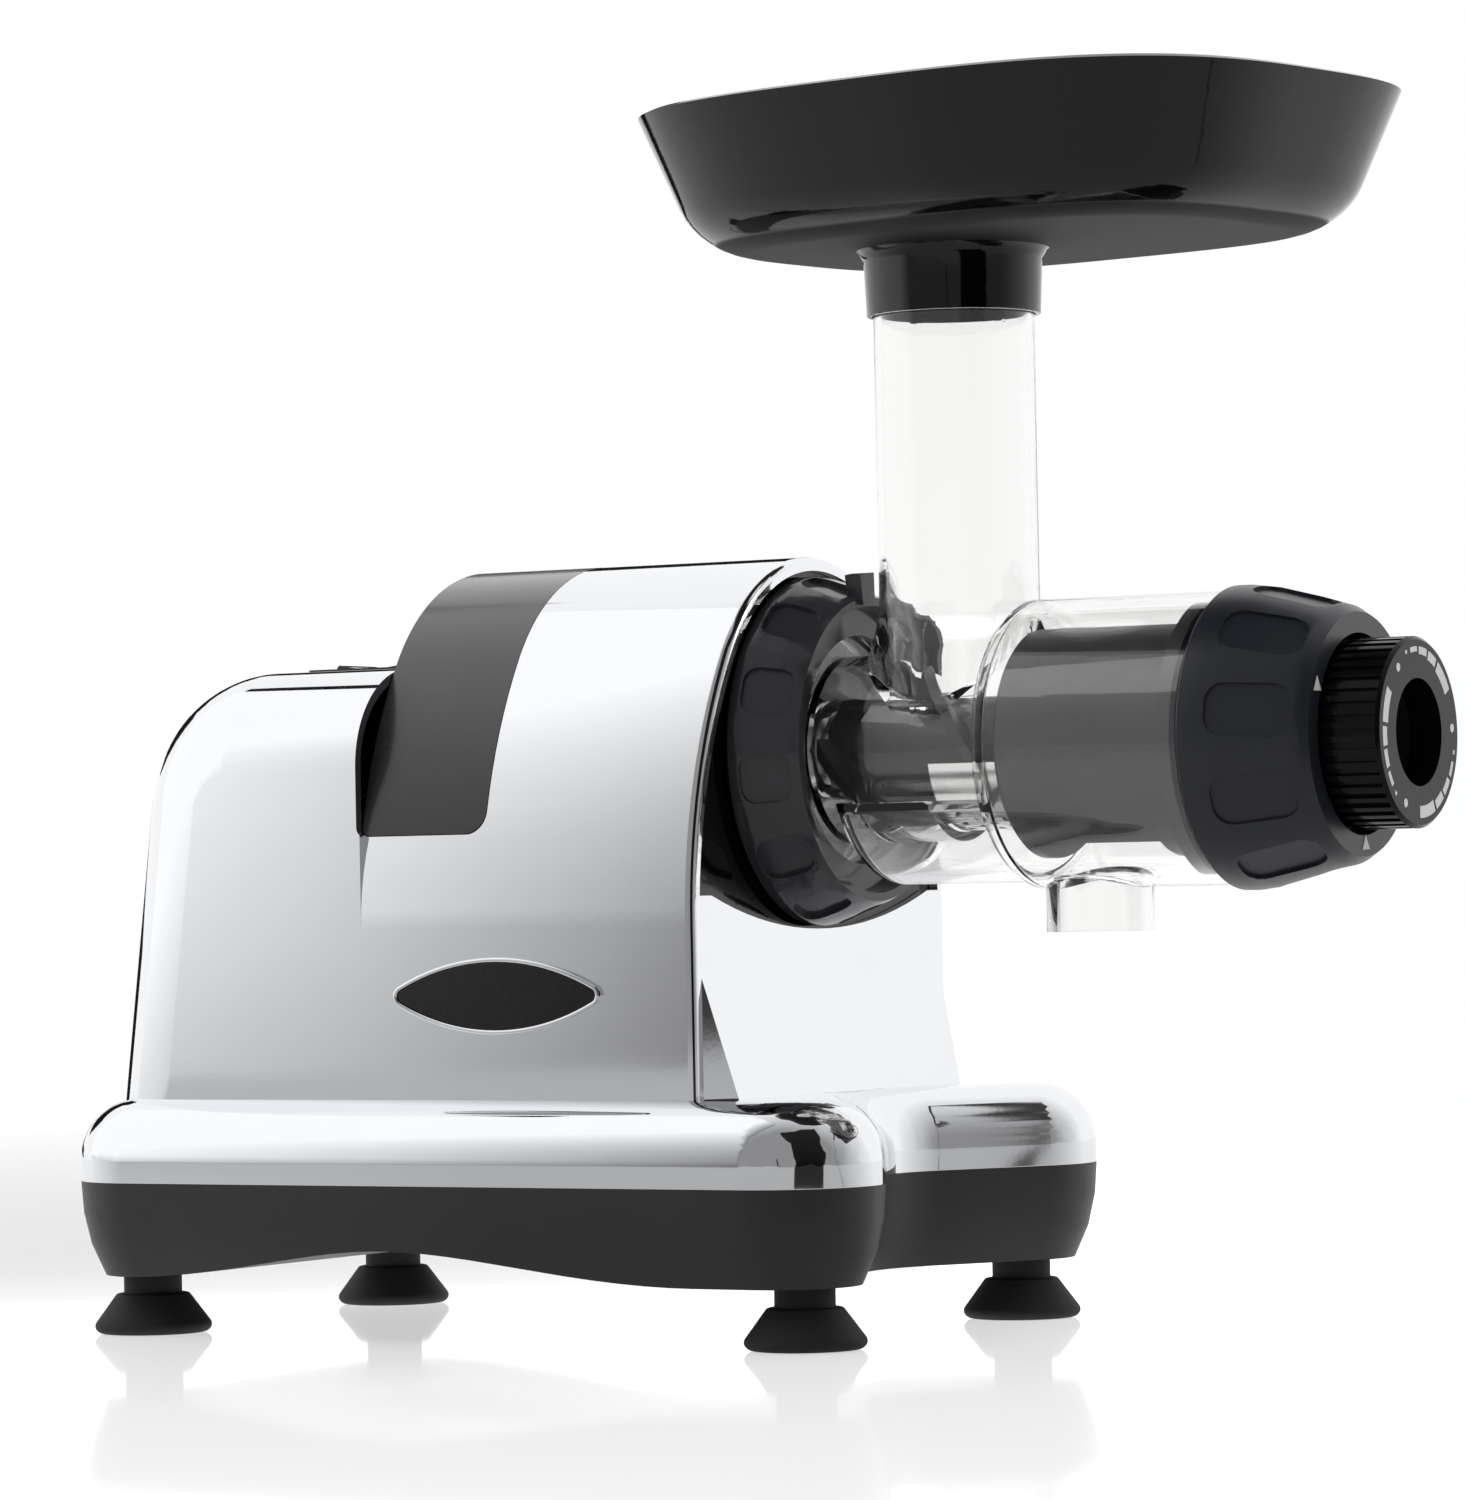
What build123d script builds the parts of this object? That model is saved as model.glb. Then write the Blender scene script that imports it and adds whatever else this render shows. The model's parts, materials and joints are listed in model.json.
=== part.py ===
from build123d import *
from math import acos, asin, atan2, cos, degrees, pi, radians, sin, sqrt, tan
import os

# Horizontal masticating juicer. Millimetres, +Z up, +X from the motor end to the dial, -Y is the badge side.
# Sizes are laid out from the centre of the four feet on the worktop. The last lines then move the whole part so
# that its origin is the middle of its length, on the worktop.

# ---- base: tub, rim and feet ----
foot_x = 102.0             # half spacing of the feet along X
foot_inset = 24.85         # from the base's side to the middle of a foot
foot_sole_r = 14.5
foot_flare_r = 15.7
foot_flare_z = 2.5
foot_neck_r = 9.7
foot_neck_z = 10.6
foot_stem_r = 7.8
foot_edge = 1.2            # height of the bevel round the sole
base_half_width = 82.35
foot_y = base_half_width - foot_inset   # half spacing of the feet along Y
base_rear_x = -119.8
base_corner_r = 26.0
lobe_r = 25.0              # round front corners of the base
lobe_front_x = 122.4
notch_x = 92.0             # where the two slanted front faces of the base would meet
notch_r = 30.0
tub_bottom_z = 16.0
seam_z = 41.3              # tub below, rim above
rim_top_z = 63.0
rim_shoulder_r = 16.0
tub_draft = (4.0, 13.0, 24.0)   # degrees, the tub's wall leans in more towards its bottom
arch_rise = 8.3            # height of the arch under the tub
arch_rear_x = -100.0
arch_peak_x = -13.0
arch_front_x = 80.0
wall = 2.5                 # moulded wall of tub, rim and housing
joint_gap = 0.2            # between two mouldings that meet edge to edge

# ---- housing ----
housing_half_width = 66.0
skirt_z = 52.0              # lowest reach of the housing before it is trimmed to the rim's shoulder
housing_rear_x = -117.0
rear_mid_x = -110.0        # rear wall leans forward: its x at rear_mid_z
rear_mid_z = 116.0
rear_top_r = 38.0
housing_corner_r = 27.0
deck_z = 177.0             # low rear deck that carries the switch
step_x = -27.0             # the high front part starts here
housing_front_x = 76.0
crown_z = 203.5
crown_r = 54.0
haunch_r = 132.9
front_edge_r = 2.2
apron_z = 94.0             # the chrome apron under the drum starts to run forward here
apron_foot_x = 84.0
apron_half_width = 62.0
apron_foot_half_width = 58.0
lip = 3.6                  # chrome lip round the fascia
fascia_low_z = 105.6
fascia_side_z = 115.0
fascia_corner_r = 6.0
fascia_recess = 0.3
fascia_thickness = 3.2
fascia_foot = 4.0          # how far the plate reaches below its opening

# ---- handle band over the housing ----
band_front_x = 12.0
band_low_z = 132.0
band_rear_corner_r = 2.5
band_front_corner_r = 6.0
pocket_half_width = 40.0
pocket_floor_z = 181.0
pocket_depth = 24.0
grip_thickness = 7.0       # from the crown down to the top of the finger pocket
pocket_wall = 2.2
band_tab = 8.0             # tongue under the housing's edge

# ---- badge, left bare ----
badge_x = 18.0
badge_z = 90.0
badge_length = 67.0
badge_height = 20.0
badge_rim_width = 1.6
badge_plate_thickness = 1.0
badge_rim_thickness = 1.6

# ---- switch on the deck ----
switch_x = -60.0
switch_length = 32.0
switch_width = 22.0
bezel_flange = 3.0
bezel_height = 1.6
rocker_clearance = 0.5
rocker_rise = 3.2
rocker_pin_r = 1.5
switch_body_depth = 18.0
terminal_length = 8.0

# ---- fasteners and small fittings of the base ----
screw_gap = 0.05           # radial, screw in its hole
running_gap = 0.05         # radial, shaft in its bush
head_height = 2.6
foot_screw_r = 2.0
foot_head_r = 4.0
foot_head_z = 6.0
foot_boss_r = 6.0
foot_boss_top = 32.0
post_rear_x = -94.0
post_front_x = 66.0
post_y = 50.0
post_r = 6.5
screw_seat_z = 24.0
housing_screw_r = 2.0
housing_head_r = 4.0
housing_boss_r = 5.5
housing_boss_z = 78.0
rib = 3.0
ledge_rear_x = -100.0
ledge_front_x = 70.0
ledge_half_width = 54.0
ledge_corner_r = 25.0
vent_count = 9
vent_x = -52.0
vent_pitch = 9.0
vent_width = 3.5
vent_length = 44.0
gland_y = 40.0
gland_z = 31.0
gland_r = 5.5
gland_bore_r = 3.6
gland_flange_r = 8.0
gland_flange_out = 1.0     # from the rim's rear face to the flange's outer face
gland_flange_in = 3.4
gland_length = 12.0

# ---- switch details ----
bezel_skirt = 9.0
bezel_wall = 1.6
rocker_z = 171.5
rocker_drop = 2.6
rocker_draft = 2.0
rocker_well = 4.0
pocket_corner_r = 6.0

# ---- locking ring on its collar ----
collar_r = 37.0
collar_bore_r = 33.0
collar_front_x = 82.0
lug_angles = (30.0, 150.0, 270.0)
lug_angle = 22.0           # width of a bayonet lug, degrees
lug_height = 1.6
lug_length = 3.0
ring_back_x = 73.8
ring_front_x = 93.0
ring_r = 46.0
ring_waist_x = 77.5
ring_front_r = 39.8
ring_mouth_r = 37.6
ring_lip_x = 86.2          # back of the inner lip that holds the drum's flange
ring_lip_thickness = 2.6
ring_lip_r = 30.0
ring_scallops = 12
scallop_x = 84.6
scallop_surface_r = 43.6   # the ring's surface at scallop_x
scallop_lean = 21.0
scallop_length = 13.5
scallop_width = 13.0
scallop_depth = 1.8
scallop_corner_r = 4.0
scallop_turn = 5.0         # turns the recesses round the drum line, degrees
ring_turn = 45.0
thumb_tab_angle = 96.0
clearance = 0.3            # between parts that slide or turn by hand

# ---- clear drum ----
spigot_r = 32.6
spigot_rear_x = 75.5
flange_r = 36.4
flange_x = 82.3
flange_front_x = 85.8
drum_wall = 2.4
inlet_r = 24.6
inlet_front_x = 136.0
barrel_r = 37.3
barrel_rear_x = 143.0
barrel_front_x = 199.7
thread_r = 33.6            # reduced end of the barrel, inside the cap
thread_front_x = 214.0
trough_r = 35.6
trough_rear_x = 97.0
trough_top_z = 138.0
trough_corner_r = 5.0
chute_x = 119.0
chute_r = 21.0
chute_bore_r = 19.05       # 1.5 inch feed chute
chute_top_z = 281.0
chute_flare_r = 24.2
chute_flare_z = 190.0
spout_x = 158.4
spout_r = 13.8
spout_low_z = 104.0

# ---- screen and auger ----
auger_r = 20.5
auger_core_r = 12.5
auger_tip_core_r = 17.0
auger_rear_x = 87.5
auger_front_x = 189.0
auger_twist = 430.0        # degrees over its length
flight_width = 5.0
mesh_r = 21.9
mesh_thickness = 0.8
mesh_rear_x = 121.0
mesh_front_x = 188.0
mesh_half_angle = 78.0
mesh_hole_r = 1.0
mesh_pitch = 4.2
mesh_rows = 7
frame_r = 29.5
frame_rear_x = 144.0
frame_front_x = 197.0
frame_flange_x = 193.0
window_half_width = 15.0
hub_r = 9.0
spoke_width = 4.0
spindle_r = 5.0            # steel core of the auger
spindle_front_x = 199.0
hex_across = 12.0
hex_rear_x = 66.0

# ---- cap and dial ----
cap_rear_x = 200.0
cap_front_x = 233.0
cap_r = 38.6
cap_front_r = 30.7
cap_wall = 4.0
cap_mouth_r = 25.4
cap_scoops = 10
scoop_x = 18.5             # from the cap's rear edge to the middle of a finger recess
scoop_inset = 2.75         # the cap's surface there, in from cap_r
scoop_lean = 14.5          # slope of the cap's side, degrees
scoop_length = 22.0
scoop_width = 13.5
scoop_depth = 1.5
scoop_corner_r = 5.0
scoop_turn = 10.0          # turns the recesses round the drum line, degrees
nozzle_r = 16.6
nozzle_bore_r = 13.5
nozzle_front_x = 240.0
dial_rear_x = 226.8
dial_face_x = 248.7
dial_r = 24.0
dial_ribs = 44
rib_depth = 0.9
dial_rim = 1.0             # plain edge in front of the ribs
dial_bore_r = 13.5
seal_ring = 1.6

# ---- tray ----
tray_x = 138.7
tray_half_length = 93.5
tray_half_width = 73.7
tray_flare = 13.5
tray_bottom_z = 283.8
tray_rim_z = 318.3
tray_edge = 8.0            # rounding of the lower edge
tray_wall = 2.2
tray_turn = -8.8
tray_power = 3.1           # exponent of the rounded plan
tray_collar_r = 23.3
tray_collar_low_z = 264.5

# ---- drive train ----
motor_z = 97.0
first_stage_margin = 11.0  # of the housing's half width, for the gearbox's wall and the air beside it
first_stage_reach = 55.0   # of the first stage to the side, in modules: it grows with the housing
first_module = (housing_half_width - first_stage_margin) / first_stage_reach
first_pinion_teeth = 12
first_gear_teeth = 58
second_module = 1.25
second_pinion_teeth = 13
second_gear_teeth = 58
pressure_angle = 20.0
backlash = 0.16            # taken off each tooth's thickness, times the module
gear_addendum = 0.7        # of the wheels, times the module, short so as not to foul the small pinions
pinion_addendum = 1.0
dedendum = 1.0
first_gear_x = 36.0
first_gear_width = 9.0
second_gear_x = 48.0
second_gear_width = 13.0
gearbox_rear_x = 29.0
gearbox_wall = 3.0
gearbox_screw_boss_r = 4.0
gearbox_split_x = 62.6
gearbox_front_x = 67.0
gear_room = 1.2            # air between a gear and the gearbox wall
output_r = 9.0
output_front_x = 78.0
output_journal_r = 7.0
idler_r = 4.0
bush_wall = 3.0
bush_length = 7.0
shaft_seal_x = 67.2
shaft_seal_thickness = 4.0
shaft_seal_r = 15.0
rotor_shaft_r = 4.0
rotor_r = 23.6
air_gap = 0.4
stator_r = 42.0
stator_rear_x = -50.0
stator_front_x = -6.0
stator_slots = 16
slot_depth = 10.0
slot_width = 4.6
coil_reach = 11.0          # end turns beyond the stator
bell_thickness = 4.0
bell_gap = 2.0
ball_bearing_r = 9.0
ball_bearing_width = 6.0
motor_bolt_r = 2.0
motor_bolt_circle = 38.6
fan_r = 34.0
fan_thickness = 9.0
fan_blades = 9
mount_rear_x = -66.0
mount_front_x = 48.0
mount_y = 38.0
mount_low_z = 47.0
mount_rubber = 5.0
mount_r = 7.0
mount_post_r = 6.0
mount_foot = 4.0           # thickness of the motor's and gearbox's feet
mount_screw_r = 2.0
mount_screw_depth = 14.0
capacitor_x = -58.0
capacitor_length = 46.0
capacitor_r = 10.0
capacitor_z = 37.5
capacitor_y = -20.0
clip_thickness = 1.2
clip_width = 12.0

# ---- drum line ----
drum_z = 152.35            # axis of auger, drum, ring, cap and dial

# ---- places that follow from the sizes above ----
pinion_bore_r = rotor_shaft_r - 1.2
gearbox_low_r = 32.0
gearbox_nose_x = shaft_seal_x + shaft_seal_thickness + 0.6
rear_bell_x = stator_rear_x - coil_reach - bell_thickness - 3
fan_x = rear_bell_x - bell_gap - 3 - fan_thickness
hub_bore_r = output_r + 1.2
clip_floor_z = tub_bottom_z + arch_rise + wall + 0.2


def x_cylinder(x0, x1, r, y=0.0, z=drum_z):
    """Solid cylinder along X."""
    return Pos(x0, y, z) * Rot(0, 90, 0) * Cylinder(r, x1 - x0, align=(Align.CENTER, Align.CENTER, Align.MIN))


def z_cylinder(x, y, z0, z1, r):
    """Solid cylinder along Z."""
    return Pos(x, y, z0) * Cylinder(r, z1 - z0, align=(Align.CENTER, Align.CENTER, Align.MIN))


def block(x0, x1, y0, y1, z0, z1):
    """Box between two corners."""
    return Pos((x0 + x1) / 2, (y0 + y1) / 2, (z0 + z1) / 2) * Box(x1 - x0, y1 - y0, z1 - z0)


def across(x):
    """Plane across the drum line at x: its own x is +Y, its own y is +Z."""
    return Plane(origin=(x, 0, 0), x_dir=(0, 1, 0), z_dir=(1, 0, 0))


def turned(points, y=0.0, z=drum_z):
    """Solid of revolution about a line along X, from (x, radius) points."""
    outline = Polyline([(x, y, z + r) for x, r in points], close=True)
    return revolve(make_face(outline), Axis((0, y, z), (1, 0, 0)), 360)


def turned_upright(x, y, points):
    """Solid of revolution about a vertical line, from (radius, z) points."""
    outline = Polyline([(x + r, y, z) for r, z in points], close=True)
    return revolve(make_face(outline), Axis((x, y, 0), (0, 0, 1)), 360)


def corners(rear_x, front_x, half_width):
    """Four places, two at each end of the part."""
    return [(x, side * half_width) for x in (rear_x, front_x) for side in (-1, 1)]


# ---------------------------------------------------------------- base

def base_outline(inset=0.0):
    """Plan of the base: round rear corners, two lobes in front and a wide shallow V between them."""
    centre_x = lobe_front_x - lobe_r
    centre_y = base_half_width - lobe_r
    run = sqrt((centre_x - notch_x) ** 2 + centre_y ** 2)
    slant = atan2(centre_y, centre_x - notch_x) - asin(lobe_r / run)
    straight = sqrt(run ** 2 - lobe_r ** 2)
    touch = [(notch_x + straight * cos(slant), side * straight * sin(slant)) for side in (-1, 1)]
    plan = Polygon((base_rear_x, -base_half_width), (centre_x, -base_half_width), touch[0], (notch_x, 0),
                   touch[1], (centre_x, base_half_width), (base_rear_x, base_half_width), align=None)
    plan += [Pos(centre_x, side * centre_y) * Circle(lobe_r) for side in (-1, 1)]
    rear = plan.vertices().filter_by_position(Axis.X, base_rear_x - 1, base_rear_x + 1)
    plan = fillet(rear, base_corner_r)
    middle = plan.vertices().filter_by_position(Axis.Y, -1, 1)
    plan = fillet(middle, notch_r)
    return offset(plan, -inset) if inset else plan


def under_arch(lift=0.0):
    """Block under the tub that shapes its arched underside."""
    peak = (arch_peak_x, tub_bottom_z + arch_rise + lift)
    start = (arch_rear_x, tub_bottom_z + lift)
    end = (arch_front_x, tub_bottom_z + lift)
    curve = Spline(start, peak, end, tangents=((1, 0), (1, 0)))
    low = tub_bottom_z - 10
    side = curve + Polyline(end, (arch_front_x, low), (arch_rear_x, low), start)
    face = Plane.XZ * make_face(side)
    return extrude(face, base_half_width + 10, both=True)


def tub_block(inset, low_z):
    """Tub as a full block: three drafted bands, steeper towards the bottom."""
    bands = len(tub_draft)
    height = (seam_z - tub_bottom_z) / bands
    solid = Part()
    for i, draft in enumerate(tub_draft):
        top = seam_z - i * height
        z1 = max(top - height, low_z)
        lean = sum(height * tan(radians(d)) for d in tub_draft[:i])
        ring = Pos(0, 0, top) * base_outline(inset + lean)
        solid += extrude(ring, top - z1, dir=(0, 0, -1), taper=draft)
    return solid


def base_tub():
    """Black lower tub with its foot bosses, screw posts, motor posts and cooling slots."""
    floor = tub_bottom_z + wall
    body = tub_block(0.0, tub_bottom_z) - under_arch()
    cavity = tub_block(wall, floor) - under_arch(wall)
    body -= cavity
    for x, y in corners(-foot_x, foot_x, foot_y):
        body += z_cylinder(x, y, floor - joint_gap, foot_boss_top, foot_boss_r)
        body -= z_cylinder(x, y, tub_bottom_z - 1, foot_boss_top + 1, foot_screw_r + screw_gap)
    for x, y in corners(post_rear_x, post_front_x, post_y):
        body += z_cylinder(x, y, floor, seam_z, post_r)
        body -= z_cylinder(x, y, tub_bottom_z - 1, seam_z + 1, housing_screw_r + screw_gap)
        body -= z_cylinder(x, y, tub_bottom_z - 1, screw_seat_z, housing_head_r + 2 * screw_gap)
    for x, y in corners(mount_rear_x, mount_front_x, mount_y):
        body += z_cylinder(x, y, floor, mount_low_z, mount_post_r) - under_arch(wall / 2)
        body -= z_cylinder(x, y, mount_low_z - mount_screw_depth, mount_low_z + 1, mount_screw_r + screw_gap)
    for i in range(vent_count):
        x = vent_x + i * vent_pitch
        slot = Pos(x, 0, tub_bottom_z + arch_rise) * Box(vent_width, vent_length, 4 * arch_rise)
        body -= fillet(slot.edges().filter_by(Axis.Z), vent_width / 2 - 0.1)
    body -= x_cylinder(base_rear_x - 1, base_rear_x + 12, gland_r + joint_gap, gland_y, gland_z)
    body -= x_cylinder(base_rear_x - 1, base_rear_x + gland_flange_in, gland_flange_r + joint_gap, gland_y, gland_z)
    return body


def rim_block(inset, top):
    """Rim as a full block with its rounded shoulder."""
    solid = extrude(Pos(0, 0, seam_z) * base_outline(inset), top - seam_z)
    return fillet(solid.faces().sort_by(Axis.Z)[-1].edges(), rim_shoulder_r - inset)


def rounded_plate(x0, x1, half_width, r, z0, z1):
    """Upright prism with rounded corners."""
    plate = block(x0, x1, -half_width, half_width, z0, z1)
    return fillet(plate.edges().filter_by(Axis.Z), r)


def base_rim():
    """Chrome rim between tub and housing, with the ledge that the housing stands on."""
    body = rim_block(0.0, rim_top_z) - rim_block(wall, rim_top_z - wall)
    body -= rounded_plate(ledge_rear_x, ledge_front_x, ledge_half_width, ledge_corner_r, seam_z, rim_top_z + 1)
    for x, y in corners(post_rear_x, post_front_x, post_y):
        body -= z_cylinder(x, y, seam_z, rim_top_z + 1, housing_screw_r + screw_gap)
    return body


def foot(x, y):
    """Rubber foot: flared sole, narrow stem, counterbored for its screw."""
    body = turned_upright(x, y, [
        (0, 0), (foot_sole_r, 0), (foot_flare_r, foot_edge), (foot_flare_r, foot_flare_z),
        (foot_neck_r, foot_neck_z), (foot_stem_r, foot_neck_z), (foot_stem_r, tub_bottom_z), (0, tub_bottom_z)])
    body -= z_cylinder(x, y, -1, foot_head_z, foot_head_r + 2 * screw_gap)
    return body - z_cylinder(x, y, -1, tub_bottom_z + 1, foot_screw_r + screw_gap)


def pan_screw(x, y, seat_z, tip_z, r, head_r, head_h):
    """Screw that points up, with a cross recess in its head."""
    screw = z_cylinder(x, y, seat_z - head_h, seat_z, head_r) + z_cylinder(x, y, seat_z, tip_z, r)
    screw = fillet(screw.faces().sort_by(Axis.Z)[0].edges(), head_h / 3)
    slot = Box(head_r * 1.2, head_r * 0.24, head_h)
    cross = slot + Rot(0, 0, 90) * slot
    return screw - Pos(x, y, seat_z - head_h) * cross


def foot_screws():
    """One screw through each foot."""
    return [pan_screw(x, y, foot_head_z, foot_boss_top - 2, foot_screw_r, foot_head_r, head_height)
            for x, y in corners(-foot_x, foot_x, foot_y)]


def housing_screws():
    """Long screws that clamp tub, rim and housing."""
    return [pan_screw(x, y, screw_seat_z, housing_boss_z - 2, housing_screw_r, housing_head_r, head_height)
            for x, y in corners(post_rear_x, post_front_x, post_y)]


def cord_gland():
    """Bush in the tub's rear wall where a mains lead would enter."""
    x0 = base_rear_x + gland_flange_out
    body = x_cylinder(x0, base_rear_x + gland_flange_in, gland_flange_r, gland_y, gland_z)
    body += x_cylinder(x0, base_rear_x + gland_length, gland_r, gland_y, gland_z)
    return body - x_cylinder(x0 - 1, base_rear_x + gland_length + 1, gland_bore_r, gland_y, gland_z)


# ---------------------------------------------------------------- housing

def arch_section(x, inset=0.0):
    """Cross-section of the high front part: round crown, flatter haunches, straight sides."""
    crown_centre = crown_z - crown_r
    half = housing_half_width
    # the haunch arc is vertical where it meets the side wall and tangent to the crown arc
    haunch_y = haunch_r - half
    gap = haunch_r - crown_r
    side_z = crown_centre - sqrt(gap ** 2 - haunch_y ** 2)
    joint = (haunch_r * haunch_y / gap - haunch_y, side_z + haunch_r * (crown_centre - side_z) / gap)
    aim = atan2(joint[1] - side_z, joint[0] + haunch_y) / 2
    right = ThreePointArc((half, side_z), (haunch_r * cos(aim) - haunch_y, side_z + haunch_r * sin(aim)), joint)
    top = ThreePointArc(joint, (0, crown_z), (-joint[0], joint[1]))
    left = ThreePointArc((-joint[0], joint[1]), (haunch_y - haunch_r * cos(aim), side_z + haunch_r * sin(aim)),
                         (-half, side_z))
    foot_line = Polyline((-half, side_z), (-half, skirt_z), (half, skirt_z), (half, side_z))
    face = make_face(right + top + left + foot_line)
    if inset:
        face = offset(face, -inset) + Pos(0, skirt_z + inset) * Rectangle(2 * (half - inset), 2 * inset)
    return across(x) * face


def rear_block(inset):
    """Low rear part: leaning rear wall, large top radius, rounded corners."""
    lean = (rear_mid_x - housing_rear_x) / (rear_mid_z - rim_top_z)
    top = deck_z - inset
    rear = housing_rear_x + inset
    side = Polygon((rear + lean * (skirt_z - rim_top_z), skirt_z), (rear + lean * (top - rim_top_z), top),
                   (step_x + inset + 1, top), (step_x + inset + 1, skirt_z), align=None)
    corner = side.vertices().sort_by_distance((rear + lean * (top - rim_top_z), top))[0]
    side = fillet(corner, rear_top_r - inset)
    half = housing_half_width - inset
    solid = extrude(Plane.XZ * side, half, both=True)
    rim_edges = [e for e in solid.edges() if abs(abs(e.center().Y) - half) < 0.01
                 and e.center().Z > skirt_z + 1 and e.center().X < step_x]
    return fillet(rim_edges, housing_corner_r - inset)


def housing_block(inset):
    """Whole outer form of the housing, moved in by inset."""
    front = housing_front_x - inset
    high = extrude(arch_section(step_x + inset, inset), front - step_x - inset)
    apron_side = Polygon((front - 4, apron_z), (front, apron_z), (apron_foot_x - inset, rim_top_z),
                         (apron_foot_x - inset, skirt_z), (front - 4, skirt_z), align=None)
    apron = extrude(Plane.XZ * apron_side, apron_half_width - inset, both=True)
    trim = Polygon((front, apron_half_width - inset), (apron_foot_x, apron_foot_half_width - inset),
                   (apron_foot_x, apron_half_width), (front, apron_half_width), align=None)
    cut = extrude(Pos(0, 0, skirt_z - 1) * trim, apron_z)
    return rear_block(inset) + high + (apron - cut - mirror(cut, Plane.XZ))


def fascia_opening(inset, x, depth):
    """Prism of the opening in the housing's front: inside the lip, above the apron."""
    frame_face = arch_section(x, lip + inset)
    side_y = housing_half_width - lip - fascia_corner_r
    sill = ThreePointArc((-side_y, fascia_side_z + inset), (0, fascia_low_z + inset), (side_y, fascia_side_z + inset))
    below = make_face(sill + Polyline((side_y, fascia_side_z + inset), (2 * side_y, fascia_side_z + inset),
                                      (2 * side_y, 0), (-2 * side_y, 0), (-2 * side_y, fascia_side_z + inset),
                                      (-side_y, fascia_side_z + inset)))
    below = across(x) * below
    return extrude(frame_face - below, depth, dir=(1, 0, 0))


def band_prism(inset):
    """Side outline of the handle band, through the whole width."""
    side = Polygon((step_x + inset, band_low_z + inset), (band_front_x - inset, band_low_z + inset),
                   (band_front_x - inset, crown_z + 20), (step_x + inset, crown_z + 20), align=None)
    low = side.vertices().sort_by(Axis.Y)[:2].sort_by(Axis.X)
    side = fillet(low[0], band_rear_corner_r)
    side = fillet(side.vertices().sort_by_distance((band_front_x - inset, band_low_z + inset))[0],
                  band_front_corner_r)
    return extrude(Plane.XZ * side, housing_half_width + 10, both=True)


def upper_housing():
    """Chrome shell over motor and gearbox."""
    body = housing_block(0.0)
    edge = [e for e in body.edges() if abs(e.center().X - housing_front_x) < 0.01 and e.center().Z > apron_z + 5]
    body = fillet(edge, front_edge_r)
    shell = body - housing_block(wall) - rim_block(-joint_gap / 2, rim_top_z)
    shell -= fascia_opening(0.0, housing_front_x - wall - 1, wall + 2)
    shell -= band_prism(0.0)
    hole_x, hole_y = switch_length / 2 + joint_gap, switch_width / 2 + joint_gap
    shell -= block(switch_x - hole_x, switch_x + hole_x, -hole_y, hole_y, deck_z - wall - 1, deck_z + 1)
    for x, y in corners(post_rear_x, post_front_x, post_y):
        side = 1 if y > 0 else -1
        boss = z_cylinder(x, y, rim_top_z, housing_boss_z, housing_boss_r)
        wide = sorted((y, side * (housing_half_width - wall / 2)))
        boss += block(x - rib / 2, x + rib / 2, wide[0], wide[1], rim_top_z, housing_boss_z) & body
        shell += boss - z_cylinder(x, y, rim_top_z - 1, housing_boss_z + 1, housing_screw_r + screw_gap)
    return shell


def front_fascia():
    """Black plate in the housing's front, with the collar that carries drum and locking ring."""
    x1 = housing_front_x - wall - fascia_recess
    x0 = x1 - fascia_thickness
    plate = arch_section(x0, wall + joint_gap + 0.1)
    low_z = fascia_low_z - fascia_foot
    below = across(x0) * Pos(0, low_z / 2) * Rectangle(2 * base_half_width, low_z)
    body = extrude(plate - below, fascia_thickness, dir=(1, 0, 0))
    body += x_cylinder(x0, collar_front_x, collar_r)
    for angle in lug_angles:
        body += ring_part(collar_front_x - lug_length, collar_front_x, collar_r - 1, collar_r + lug_height,
                          angle, lug_angle)
    return body - x_cylinder(x0 - 1, collar_front_x + 1, collar_bore_r)


def ring_part(x0, x1, r_in, r_out, angle, width):
    """Piece of a ring about the drum axis, width degrees wide and centred on angle."""
    ring = x_cylinder(x0, x1, r_out) - x_cylinder(x0 - 1, x1 + 1, r_in)
    reach = 2 * r_out
    half = radians(width / 2)
    wedge = Polygon((0, 0), *[(reach * cos(k * half / 2), reach * sin(k * half / 2)) for k in (-2, -1, 0, 1, 2)],
                    align=None)
    plane = Plane(origin=(x0, 0, drum_z), x_dir=(0, cos(radians(angle)), sin(radians(angle))), z_dir=(1, 0, 0))
    return ring & extrude(plane * wedge, x1 - x0)


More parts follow.
